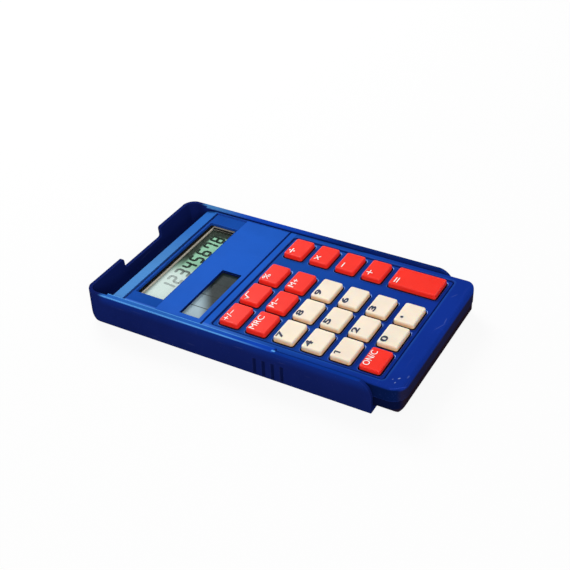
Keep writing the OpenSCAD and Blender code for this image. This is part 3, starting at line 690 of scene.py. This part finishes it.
class CALCULATOR_OT_cover(bpy.types.Operator):
    """Slide cover with softened edges, scuffed plastic and painted light and shade"""

    bl_idname = "calculator.cover"
    bl_label = "Slide cover"

    def execute(self, context):
        s = settings()
        c = s.colours
        rim, past_lip = ("top", 0.5, 0.1), ("Y", -15.6, -16.6)
        near, far = ("X", 0.0, -1.0), ("X", 0.0, 1.0)
        plastic = moulded("cover_plastic", c.cover, 0.34, shine=0.0, wear_and_highlight=0.15, zones=zoned(
            "slide_cover",
            # Walls painted lighter towards the rim, a painted highlight on the rim and painted sheen on the
            # near rim
            (c.cover_wall, ("top", 4.5, 0.3)),
            (c.cover_rim, rim),
            (c.rim_sheen, rim, near, ("Y", -12.0, 32.0)),
            # Painted highlights on the inner and outer edge of the near rim
            (c.rim_highlight, ("top", 0.5, 0.3), near, ("near", 1.9, 2.15), ("Y", -20.0, 5.0)),
            (c.rim_highlight, ("top", 0.3, 0.15), ("near", 0.55, 0.4), ("Y", -19.0, 8.0)),
            # Painted shade on the rim past the end of the near lip, and a painted glint on that end
            (tone(c.cover_rim, 0.62), rim, near, past_lip),
            (tone(c.cover_rim, 0.36), rim, near, past_lip, ("near", 0.7, 1.2)),
            (tone(c.rim_highlight, 1.2), ("top", 0.5, 0.2), ("near", 1.3, 0.9), ("near", 0.2, 0.5),
             ("Y", -17.0, -16.5), ("Y", -15.2, -15.7)),
            # Far rim: painted highlight at the closed end and painted shade towards the open end
            (tone(c.rim_highlight, 0.6), rim, far, ("Y", 30.0, 52.0)),
            (tone(c.cover_rim, 0.32), rim, far, ("Y", 22.0, -12.0)),
            # Closed end back to the plain cover blue, without the painted light, and painted shade in the
            # grip grooves
            (c.cover, ("head", 9.0, 6.0)),
            (tone(c.cover, 0.55), ("flank", 0.55, 0.45), ("flank", 0.15, 0.25), ("base", 0.6, 0.9),
             ("base", 8.0, 7.2), ("Y", -26.0, -25.0), ("Y", 0.0, -1.0))))
        softened("slide_cover", "cover_tray", s.sizes.edge_round, plastic)
        return {"FINISHED"}


class CALCULATOR_OT_case(bpy.types.Operator):
    """Case halves, face plate and screws"""

    bl_idname = "calculator.case"
    bl_label = "Case"

    def execute(self, context):
        s = settings()
        c = s.colours
        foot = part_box("top_case")[0].y * PER_MM
        plate_low, plate_high = (corner * PER_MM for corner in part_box("face_plate"))
        start, end = plate_low.y, plate_high.y
        slope = ("head", 5.25, 5.1)
        upper_zones = zoned(
            "top_case",
            # Painted sheen on the face towards the plate and on the strips before and behind it
            (tone(c.case_sheen, 0.72), ("Y", foot + 5.0, start - 3.0)),
            (c.case_sheen, ("Y", start - 3.4, start - 3.0)),
            (tone(c.case_sheen, 0.7), ("Y", end - 0.5, end)),
            # Painted shade along the slope's upper edge, painted sheen on the slope at the display end, and a
            # painted highlight along the near margin
            (tone(c.case, 0.2), ("head", 5.75, 5.65), ("head", 5.1, 5.2), ("top", 0.2, 0.4)),
            (c.case_slope, slope),
            (c.slope_sheen, slope, ("X", 24.0, -8.0)),
            (c.case_margin, ("near", 2.8, 1.9), ("Y", -20.0, 25.0), ("head", 5.1, 5.3)),
            # Painted shade on the ledge under the plate
            (tone(c.case, 0.15), ("Y", start + 0.1, start + 0.2), ("Y", end - 0.1, end - 0.2),
             ("Z", plate_low.z + 0.4, plate_low.z + 0.2)),
            # Painted shade on the foot end, the sides and the near side
            (c.case_shade, ("top", 0.7, 2.0), ("foot", 3.0, 2.0)),
            (c.case_shade, ("top", 1.0, 3.0)),
            (c.case_near, ("near", 2.5, 0.8), ("top", 0.3, 1.2)))
        upper = moulded("upper_plastic", c.case, 0.36, shine=0.0, marks=self.marks, edge_shine=0.8,
                        zones=upper_zones)
        # The whole lower case takes the painted shade blue
        lower = moulded("lower_plastic", tone(c.case_shade, 0.7), 0.55, shine=0.0, zones=zoned(
            "bottom_case",
            # Painted shade and reflection at the foot end, painted shade on the near side
            (c.low_foot, ("foot", 5.8, 0.8)),
            (c.low_near, ("near", 3.8, 1.3), ("base", 1.0, 2.0))))
        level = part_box("top_case")[1].z - s.sizes.panel_depth
        softened("top_case", "upper_case", s.sizes.edge_round, upper, level=level,
                 wide=s.sizes.mouth_round)
        softened("bottom_case", "lower_case", s.sizes.edge_round, lower, heel=HEEL)
        # Painted shade on the walls of the solar window, below the plate's top
        plate = moulded("plate_paint", c.plate, 0.38, grain=0.005, shine=0.005, wear_and_highlight=0.2,
                        zones=zoned("face_plate", (tone(c.case, 0.15), ("top", 0.1, 0.3))))
        softened("face_plate", "front_plate", s.sizes.fine_round, plate)
        join_slots(frame["nodes"]["case_screws"], self.steel())
        return {"FINISHED"}

    def marks(self, f, body):
        """Painted highlight and shade along the border of the keypad panel, painted shade before the face
        plate and on the key openings' walls, and nicks and scratches on the plain face under it.
        """
        s = settings()
        c = s.colours
        # Painted highlight and painted shade for the border lines
        light, dark = tone(c.case_slope, 0.8), tone(c.case, 0.25)
        keys = [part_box(node) for node, *_ in LEGENDS]
        over = s.sizes.flange_w
        low = Vector((min(k[0].x for k in keys) + over - s.sizes.panel_x,
                      min(k[0].y for k in keys) + over - s.sizes.panel_y)) * PER_MM
        high = Vector((max(k[1].x for k in keys) - over + s.sizes.panel_x,
                       max(k[1].y for k in keys) - over + s.sizes.panel_y)) * PER_MM
        # Painted highlight outside the panel's edge and painted shade inside it
        off = f.outline(low, high, s.sizes.panel_corner * PER_MM)
        outside = f.times(f.span(off, -0.02, 0.06), f.span(off, 0.9, 0.3), 0.3)
        inside = f.times(f.span(off, 0.02, -0.06), f.span(off, -0.85, -0.5), 0.95)
        body = f.mix(outside, body, light)
        body = f.mix(inside, body, dark)
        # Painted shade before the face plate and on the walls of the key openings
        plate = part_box("face_plate")[0].y * PER_MM
        line = f.region(("Y", plate - 1.0, plate - 0.8), ("Y", plate - 0.1, plate - 0.3))
        body = f.mix(f.times(line, 0.95), body, dark)
        level = (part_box("top_case")[1].z - s.sizes.panel_depth) * PER_MM
        mouth = f.times(f.span(off, -0.8, -1.2), f.region(("Z", level - 0.16, level - 0.3)))
        body = f.mix(mouth, body, c.key_mouth_shade)
        for a, b, width, share in NICKS:
            body = f.mix(f.times(f.stroke(Vector(a), Vector(b), width), share), body, c.nick)
        return body

    def steel(self):
        """Zinc plated steel, turned."""
        f = Finish("zinc_steel")
        turned = f.noise(1.5, 3.0, (6, 6, 0.4))
        body = f.mix(turned, *TONES["zinc_steel"])
        f.surface(body, f.vary(f.noise(1.2), 0.28, 0.45), f.bump(turned, 0.004),
                  Metallic=1.0)
        return f.material


class CALCULATOR_OT_keys(bpy.types.Operator):
    """Key caps with their flanges and printed legends"""

    bl_idname = "calculator.keys"
    bl_label = "Keys"

    def execute(self, context):
        s = settings()
        foot = (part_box("top_case")[1].z - s.sizes.panel_depth) * PER_MM
        red = key_plastic("red_plastic", s.colours.red, foot, s.colours.red_foot)
        cream = key_plastic("cream_plastic", s.colours.cream, foot, s.colours.cream_foot)
        white = rubbed_ink("white_print", s.colours.white_ink, s.colours.red)
        navy = rubbed_ink("navy_print", s.colours.navy_ink, s.colours.cream)
        for node, text, left, right, down, tall in LEGENDS:
            is_red = node in RED_KEYS
            self.cap(node, red if is_red else cream, "key_red" if is_red else "key_cream")
            low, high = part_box(node)
            x = low.x + s.sizes.flange_w
            y = high.y - s.sizes.flange_w - down * MM
            self.legend(node, text, (x + left * MM, x + right * MM), (y, tall * MM), high.z,
                        white if is_red else navy)
        return {"FINISHED"}

    def cap(self, node, material, slot):
        """Cap with rounded corners and upper edge, standing on a wider flange."""
        size = settings().sizes
        low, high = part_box(node)
        wide = high.x - low.x - 2 * size.flange_w
        long = high.y - low.y - 2 * size.flange_w
        foot = low.z + size.flange_t
        top = high.z - size.ink
        bm = bmesh.new()
        gloss = bm.faces.layers.float.new("gloss")
        bmesh.ops.create_cube(bm, size=1.0)
        bmesh.ops.scale(bm, vec=(wide, long, top - foot), verts=bm.verts)
        upright = [e for e in bm.edges if abs(e.verts[0].co.z - e.verts[1].co.z) > MERGE]
        bmesh.ops.bevel(bm, geom=upright, offset=size.cap_corner, offset_type="OFFSET",
                        segments=CORNER_STEPS, profile=0.5, affect="EDGES", material=-1)
        upper = [v for v in bm.verts if v.co.z > 0]
        bmesh.ops.scale(bm, vec=(1 - 2 * size.cap_draft / wide, 1 - 2 * size.cap_draft / long, 1),
                        verts=upper)
        rim = [e for e in bm.edges if all(v.co.z > 0 for v in e.verts)]
        made = bmesh.ops.bevel(bm, geom=rim, offset=size.cap_edge, offset_type="OFFSET",
                               segments=CAP_STEPS, profile=0.5, affect="EDGES", material=-1)
        for face in made["faces"]:
            face[gloss] = 1.0
        under = [f for f in bm.faces if all(v.co.z < MERGE - (top - foot) / 2 for v in f.verts)]
        if len(under) != 1:
            raise RuntimeError(f"the cap of {node} has no flat foot")
        ring = bmesh.ops.extrude_face_region(bm, geom=under)["geom"]
        bmesh.ops.delete(bm, geom=[f for f in under if f.is_valid], context="FACES_ONLY")
        bmesh.ops.scale(bm, vec=(1 + 2 * size.flange_w / wide, 1 + 2 * size.flange_w / long, 1),
                        verts=of_kind(ring, bmesh.types.BMVert))
        floor = of_kind(ring, bmesh.types.BMFace)
        skirt = bmesh.ops.extrude_face_region(bm, geom=floor)["geom"]
        bmesh.ops.delete(bm, geom=[f for f in floor if f.is_valid], context="FACES_ONLY")
        bmesh.ops.translate(bm, vec=(0, 0, -size.flange_t), verts=of_kind(skirt, bmesh.types.BMVert))
        bmesh.ops.remove_doubles(bm, verts=bm.verts, dist=MERGE)
        bmesh.ops.recalc_face_normals(bm, faces=bm.faces)
        middle = ((low.x + high.x) / 2, (low.y + high.y) / 2, (top + foot) / 2)
        bmesh.ops.translate(bm, vec=middle, verts=bm.verts)
        obj = finish_mesh(bm, node.replace("key_", "cap_"), material, body_of(node))
        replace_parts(obj, node)

    def legend(self, node, text, across, along, top, material):
        """Printed legend: lettering fitted to its box and given the ink's height."""
        size = settings().sizes
        curve = bpy.data.curves.new("lettering", "FONT")
        curve.body = text
        curve.resolution_u = LETTER_STEPS
        curve.offset = BOLDER.get(text, 0.0) + (0.0 if node in RED_KEYS else DARK_BOLDER)
        curve.space_character = WIDER.get(text, 1.0)
        words = bpy.data.objects.new("lettering", curve)
        bpy.context.scene.collection.objects.link(words)
        flat = bpy.data.meshes.new_from_object(
            words.evaluated_get(bpy.context.evaluated_depsgraph_get()))
        bm = bmesh.new()
        bm.from_mesh(flat)
        bpy.data.objects.remove(words)
        bpy.data.curves.remove(curve)
        bpy.data.meshes.remove(flat)
        bmesh.ops.remove_doubles(bm, verts=bm.verts, dist=LETTER_MERGE)
        if text in BARS:
            corner, step, run, thick, slope = BARS[text]
            end = max(bm.verts, key=lambda v: v.co.xy.dot(corner)).co.xy + Vector(step)
            bar = bmesh.ops.create_grid(bm, x_segments=1, y_segments=1, size=0.5)["verts"]
            bmesh.ops.scale(bm, vec=(run, thick, 1), verts=bar)
            bmesh.ops.rotate(bm, cent=(0, 0, 0), matrix=Matrix.Rotation(slope, 3, "Z"), verts=bar)
            bmesh.ops.translate(bm, vec=(*end, 0), verts=bar)
        xs = [v.co.x for v in bm.verts]
        ys = [v.co.y for v in bm.verts]
        if not xs:
            raise RuntimeError(f"no lettering for {node}")
        wide, tall = max(xs) - min(xs), max(ys) - min(ys)
        bmesh.ops.translate(bm, vec=(-(max(xs) + min(xs)) / 2, -(max(ys) + min(ys)) / 2, 0),
                            verts=bm.verts)
        bmesh.ops.scale(bm, vec=((across[1] - across[0]) / wide, along[1] / tall, 0), verts=bm.verts)
        thickened(bm, size.ink)
        bmesh.ops.translate(bm, vec=((across[0] + across[1]) / 2, along[0], top - size.ink),
                            verts=bm.verts)
        finish_mesh(bm, node.replace("key_", "legend_"), material, body_of(node))


class CALCULATOR_OT_display(bpy.types.Operator):
    """Display lens, frame, liquid crystal panel and its digits"""

    bl_idname = "calculator.display"
    bl_label = "Display"

    def execute(self, context):
        s = settings()
        softened("display_lens", "window_lens", s.sizes.fine_round, self.lens())
        view_low, view_high = self.view()
        edge = view_high * PER_MM
        dark = s.colours.display_shadow
        frame_plastic = moulded(
            "frame_plastic", s.colours.frame, 0.5, grain=0.004, tint=(1.0, 1.0, 1.0), zones=zoned(
                "lcd_frame",
                # Painted shadow above the view and at its right end
                (dark, ("Y", edge.y + 0.4, edge.y + 0.65)),
                (dark, ("X", edge.x - 0.1, edge.x), ("X", edge.x + 1.35, edge.x + 1.1),
                 ("Y", edge.y + 0.1, edge.y))))
        softened("lcd_frame", "window_frame", s.sizes.fine_round, frame_plastic)
        join_slots(frame["nodes"]["lcd_panel"], self.panel())
        join_slots(frame["nodes"]["lcd_strips"], self.strips())
        ink = self.segment_ink()
        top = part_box("lcd_panel")[1].z
        for i, (digit, lit) in enumerate(LIT):
            x = view_high.x - s.sizes.digit_x - (len(LIT) - 1 - i) * s.sizes.digit_pitch
            self.digit(digit, lit, Vector((x, view_low.y + s.sizes.digit_y, top)), ink)
        return {"FINISHED"}

    def view(self):
        """Lowest and highest corner of the frame's opening."""
        co = [v.co for v in frame["nodes"]["lcd_frame"].data.vertices]
        low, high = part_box("lcd_frame")
        inner = [c for c in co if low.x + MERGE < c.x < high.x - MERGE]
        return (Vector((min(c.x for c in inner), min(c.y for c in inner), low.z)),
                Vector((max(c.x for c in inner), max(c.y for c in inner), high.z)))

    def lens(self):
        """Thin clear sheet with a little dust."""
        colours = settings().colours
        f = Finish("clear_lens")
        dust = f.span(f.noise(1.4, 4.0), 0.45, 0.8, 0.0, 0.025)
        shader = f.surface(colours.lens_dust, f.vary(f.noise(0.6), 0.35, 0.5),
                           Specular_IOR_Level=0.0)
        clear = f.add("ShaderNodeBsdfTransparent")
        f.put(clear.inputs["Color"], colours.lens)
        f.join(f.blend(dust, clear, shader), f.output.inputs["Surface"])
        return f.material

    def panel(self):
        """Polariser film: green, with a painted reflection towards the left, and painted shade and shadow
        along the upper and right margins.
        """
        colours = settings().colours
        colour = colours.glass
        low, high = (c * PER_MM for c in self.view())
        f = Finish("polariser_film")
        body = f.mix(f.vary(f.noise(0.08, 2.0)), tone(colour, 0.92), tone(colour, 1.06))
        # Painted reflection on the left, and painted shade along the upper edge
        body = f.mix(f.region(("X", low.x + 25.0, low.x + 15.0)), body, colours.display_reflection)
        body = f.mix(f.times(f.region(("Y", high.y - 1.6, high.y - 0.2)), 0.55), body, colours.display_edge)
        # Painted shadow above the digits and on the right
        body = f.mix(f.region(("Y", high.y - 3.5, high.y - 1.9), ("X", low.x + 16.0, low.x + 29.0)), body,
                     colours.display_shadow)
        body = f.mix(f.region(("X", high.x - 4.0, high.x - 2.8)), body, colours.display_shadow)
        # Weave of the film
        weave = f.noise(6.0, 1.0, (1.0, 0.15, 1.0))
        body = f.mix(f.vary(weave, 0.0, 0.12), body, tone(colour, 0.75))
        f.surface(body, f.vary(f.noise(0.3), 0.45, 0.55), f.bump(weave, 0.002),
                  Specular_IOR_Level=0.02)
        return f.material

    def strips(self):
        """Rubber with conducting bands across it."""
        f = Finish("zebra_rubber")
        band = f.span(f.math("SINE", f.times(f.axis("X"), 12.0)), -0.2, 0.2)
        body = f.mix(band, *TONES["zebra_rubber"])
        f.surface(body, f.vary(f.noise(0.8), 0.6, 0.75), f.bump(f.noise(3.0), 0.01))
        return f.material

    def segment_ink(self):
        """Dark segments, washed out towards the left by the same painted reflection as the film under them.
        """
        colours = settings().colours
        colour = colours.segment
        left = self.view()[0].x * PER_MM
        f = Finish("segment_ink")
        body = f.mix(f.vary(f.noise(0.7, 2.0)), tone(colour, 0.8), tone(colour, 1.3))
        body = f.mix(f.times(f.region(("X", left + 23.0, left + 14.0)), 0.85), body,
                     tone(colours.display_reflection, 0.62))
        f.surface(body, f.vary(f.noise(0.5), 0.32, 0.42), f.bump(f.noise(4.0), 0.002),
                  Specular_IOR_Level=0.02)
        return f.material

    def digit(self, name, lit, middle, material):
        """Lit segments of one digit, leaning a little to the right."""
        size = settings().sizes
        gap = DIGIT_GAP * size.digit_stroke
        bm = bmesh.new()
        for segment in lit:
            across, up, flat = SEGMENTS[segment]
            run = (size.digit_w if flat else size.digit_h / 2) - 2 * gap
            made = bmesh.ops.create_grid(bm, x_segments=1, y_segments=1, size=0.5)
            bmesh.ops.scale(bm, vec=(run + DIGIT_END * size.digit_stroke, size.digit_stroke, 1),
                            verts=made["verts"])
            cut = bmesh.ops.bevel(bm, geom=made["verts"], offset=DIGIT_CUT * size.digit_stroke,
                                  offset_type="OFFSET", segments=1, profile=0.5,
                                  affect="VERTICES", material=-1)
            if not flat:
                bmesh.ops.rotate(bm, cent=(0, 0, 0), matrix=Matrix.Rotation(pi / 2, 3, "Z"),
                                 verts=cut["verts"])
            bmesh.ops.translate(bm, verts=cut["verts"],
                                vec=(across * size.digit_w / 2, up * size.digit_h / 4, 0))
        thickened(bm, size.ink / 2)
        lean = Matrix(((1, DIGIT_LEAN, 0), (0, 1, 0), (0, 0, 1))).to_4x4()
        bmesh.ops.transform(bm, matrix=Matrix.Translation(middle) @ lean, verts=bm.verts)
        finish_mesh(bm, f"digit_{name}", material, body_of("lcd_panel"))


class CALCULATOR_OT_solar(bpy.types.Operator):
    """Solar cell, its pad and leads"""

    bl_idname = "calculator.solar"
    bl_label = "Solar cell"

    def execute(self, context):
        nodes = frame["nodes"]
        join_slots(nodes["solar_cell"], self.cell())
        join_slots(nodes["solar_pad"], self.foam())
        join_slots(nodes["solar_leads"], self.wire())
        return {"FINISHED"}

    def cell(self):
        """Four dark fields with dividing lines, with a painted reflection towards the left."""
        s = settings()
        c = s.colours
        low, high = (corner * PER_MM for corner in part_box("solar_cell"))
        middle = (low + high) / 2
        pitch = (high.x - low.x - 2 * s.sizes.cell_margin * PER_MM) / FIELDS
        f = Finish("solar_glass")
        off = f.math("SUBTRACT", f.axis("X"), middle.x)
        turn = f.math("PINGPONG", off, pitch / 2)
        line = f.span(turn, 0.10, 0.30, 1.0, 0.0)
        body = f.mix(f.vary(f.noise(0.15, 3.0)), tone(c.solar, 0.8), tone(c.solar, 1.25))
        body = f.mix(f.span(turn, 0.0, pitch / 2, 0.0, 0.25), body, c.solar_middle)
        # Painted reflection with a slanting edge
        slant = f.math("SUBTRACT", f.axis("X"), f.times(f.axis("Y"), REFLECTION_SLANT))
        start = low.x - REFLECTION_SLANT * middle.y
        body = f.mix(f.span(slant, start + 16.5, start + 6.0), body, c.solar_reflection)
        body = f.mix(f.times(line, 0.8), body, c.solar_line)
        f.surface(body, f.vary(f.noise(0.4, 3.0), 0.2, 0.3), f.bump(line, 0.01),
                  Specular_IOR_Level=0.03)
        return f.material

    def foam(self):
        """Dark open foam."""
        f = Finish("pad_foam")
        cell = f.noise(3.5, 3.0)
        body = f.mix(cell, *TONES["pad_foam"])
        f.surface(body, f.vary(cell, 0.8, 0.95), f.bump(cell, 0.08))
        return f.material

    def wire(self):
        """Drawn copper."""
        f = Finish("tinned_copper")
        streak = f.noise(2.0, 3.0, (4, 4, 0.3))
        body = f.mix(streak, *TONES["tinned_copper"])
        f.surface(body, f.vary(streak, 0.22, 0.4), f.bump(streak, 0.004), Metallic=1.0)
        return f.material


class CALCULATOR_OT_circuit(bpy.types.Operator):
    """Board, chip cover, small parts and the rubber mat"""

    bl_idname = "calculator.circuit"
    bl_label = "Circuit"

    def execute(self, context):
        nodes = frame["nodes"]
        join_slots(nodes["circuit_board"], self.board())
        self.mat(self.rubber())
        for node, name, colour, roughness in BOARD_PARTS:
            join_slots(nodes[node], self.varnish(name, colour, roughness))
        return {"FINISHED"}

    def mat(self, material):
        """Rubber sheet and its domes, each dome a piece with its own mesh."""
        s = settings()
        low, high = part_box("keypad_mat")
        body = body_of("keypad_mat")
        level = Vector((0.0, 0.0, low.z + s.sizes.mat_sheet + s.sizes.dome_gap))
        up = Vector((0.0, 0.0, 1.0))
        sheet = copied("keypad_mat")
        sliced(sheet, level, up)
        for node, *_ in LEGENDS:
            in_dome = self.dome_test(node)
            rim = [e for e in sheet.edges if e.is_boundary and all(in_dome(v) for v in e.verts)]
            bmesh.ops.bridge_loops(sheet, edges=rim)
            bm = copied("keypad_mat")
            sliced(bm, level, up, above=True)
            bmesh.ops.delete(bm, geom=[v for v in bm.verts if not in_dome(v)], context="VERTS")
            bmesh.ops.bridge_loops(bm, edges=[e for e in bm.edges if e.is_boundary])
            bmesh.ops.recalc_face_normals(bm, faces=bm.faces)
            dome = finish_mesh(bm, node.replace("key", "dome"), material, body)
            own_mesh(dome)
        bmesh.ops.recalc_face_normals(sheet, faces=sheet.faces)
        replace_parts(finish_mesh(sheet, "mat_sheet", material, body), "keypad_mat")

    def dome_test(self, node):
        """Test that tells the vertices of the dome under a key from the rest of the mat."""
        middle = sum(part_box(node), Vector()).xy / 2
        reach = settings().sizes.dome_reach
        return lambda vert: (vert.co.xy - middle).length < reach

    def board(self):
        """Green mask over copper runs."""
        f = Finish("board_mask")
        run = f.math("PINGPONG", f.math("ADD", f.axis("X"), f.times(f.noise(0.06, 0.0), 14.0)), 1.3)
        trace = f.span(run, 0.45, 0.6)
        body = f.mix(trace, *TONES["board_mask"])
        body = f.mix(f.span(f.noise(2.0), 0.3, 0.8, 0.0, 0.25), body, settings().colours.board_smear)
        f.surface(body, f.vary(f.noise(0.5), 0.3, 0.45), f.bump(trace, 0.03))
        return f.material

    def rubber(self):
        """Grey silicone with a powdery face."""
        f = Finish("mat_rubber")
        powder = f.noise(2.5, 3.0)
        body = f.mix(powder, *TONES["mat_rubber"])
        f.surface(body, f.vary(powder, 0.6, 0.75), f.bump(f.noise(6.0), 0.006))
        return f.material

    def varnish(self, name, colour, roughness):
        """Cast or shrunk cover with a slightly uneven gloss."""
        f = Finish(name)
        flow = f.noise(0.5, 3.0)
        body = f.mix(flow, tone(colour, 0.7), tone(colour, 1.4))
        f.surface(body, f.vary(flow, roughness - 0.05, roughness + 0.1),
                  f.bump(f.noise(1.5), 0.01))
        return f.material


class CALCULATOR_OT_stage(bpy.types.Operator):
    """Pale floor, soft light and the camera"""

    bl_idname = "calculator.stage"
    bl_label = "Stage"

    def execute(self, context):
        self.floor()
        self.world()
        for lamp in LAMPS:
            self.lamp(*lamp)
        self.camera()
        context.scene.view_settings.view_transform = "Standard"
        return {"FINISHED"}

    def seen(self, tree):
        """One where a camera, glossy or transmission ray arrives."""
        path = tree.add("ShaderNodeLightPath")
        share = path.outputs["Is Camera Ray"]
        for ray in ("Is Glossy Ray", "Is Transmission Ray"):
            share = tree.math("MAXIMUM", share, path.outputs[ray])
        return share

    def floor(self):
        """Paper floor that is seen as white and keeps the object's shadow."""
        s = settings()
        bm = bmesh.new()
        bmesh.ops.create_grid(bm, x_segments=8, y_segments=8, size=s.sizes.floor_size / 2)
        mesh = bpy.data.meshes.new("studio_floor")
        bm.to_mesh(mesh)
        bm.free()
        material = bpy.data.materials.new("studio_paper")
        material.use_nodes = True
        tree = Tree(material.node_tree)
        paper = tree.add("ShaderNodeBsdfDiffuse")
        tree.put(paper.inputs["Color"], s.colours.paper)
        glow = tree.add("ShaderNodeEmission")
        share = tree.math("MULTIPLY", self.seen(tree), FLOOR_WHITE)
        out = tree.add("ShaderNodeOutputMaterial")
        tree.join(tree.blend(share, paper, glow), out.inputs["Surface"])
        mesh.materials.append(material)
        floor = bpy.data.objects.new("studio_floor", mesh)
        bpy.context.scene.collection.objects.link(floor)

    def world(self):
        """Soft even light, seen as white."""
        world = bpy.data.worlds.new("studio_world")
        world.use_nodes = True
        tree = Tree(world.node_tree)
        soft = tree.add("ShaderNodeBackground")
        soft.inputs["Strength"].default_value = WORLD_LIGHT
        white = tree.add("ShaderNodeBackground")
        out = tree.add("ShaderNodeOutputWorld")
        tree.join(tree.blend(self.seen(tree), soft, white), out.inputs["Surface"])
        bpy.context.scene.world = world

    def lamp(self, name, azimuth, elevation, distance, size, watts):
        """Square lamp that shines on the object's middle."""
        light = bpy.data.lights.new(name, "AREA")
        light.shape = "SQUARE"
        light.size = size
        light.energy = watts
        lamp = bpy.data.objects.new(name, light)
        a, e = radians(azimuth), radians(elevation)
        lamp.location = distance * Vector((cos(e) * cos(a), cos(e) * sin(a), sin(e)))
        lamp.rotation_euler = lamp.location.to_track_quat("Z", "Y").to_euler()
        bpy.context.scene.collection.objects.link(lamp)

    def camera(self):
        """Camera fitted to the straight edges of the object."""
        view = bpy.data.cameras.new("view")
        view.sensor_width = VIEW_SENSOR
        view.lens = VIEW_LENS
        view.clip_start = VIEW_START
        camera = bpy.data.objects.new("view", view)
        turn = Matrix(VIEW_AXES).transposed().to_4x4()
        camera.matrix_world = Matrix.Translation(VIEW_PLACE) @ turn
        bpy.context.scene.collection.objects.link(camera)
        bpy.context.scene.camera = camera


OPERATORS = (
    CALCULATOR_OT_cover, CALCULATOR_OT_case, CALCULATOR_OT_display, CALCULATOR_OT_solar,
    CALCULATOR_OT_circuit, CALCULATOR_OT_keys, CALCULATOR_OT_stage,
)


class CALCULATOR_PT_pieces(bpy.types.Panel):
    """Lists the pieces and their settings"""

    bl_label = "Calculator"
    bl_space_type = "VIEW_3D"
    bl_region_type = "UI"
    bl_category = "Calculator"

    def draw(self, context):
        for operator in OPERATORS:
            self.layout.operator(operator.bl_idname)
        for group in (settings().sizes, settings().colours):
            column = self.layout.column()
            for name in group.__annotations__:
                column.prop(group, name)


CLASSES = (CalculatorSizes, CalculatorColours, CalculatorSettings, *OPERATORS, CALCULATOR_PT_pieces)


def register():
    for cls in CLASSES:
        bpy.utils.register_class(cls)
    bpy.types.Scene.calculator = PointerProperty(type=CalculatorSettings)


def unregister():
    del bpy.types.Scene.calculator
    for cls in reversed(CLASSES):
        bpy.utils.unregister_class(cls)


def main():
    register()
    bpy.ops.calculator.cover()
    bpy.ops.calculator.case()
    bpy.ops.calculator.display()
    bpy.ops.calculator.solar()
    bpy.ops.calculator.circuit()
    bpy.ops.calculator.keys()
    bpy.ops.calculator.stage()


if __name__ == "__main__":
    main()
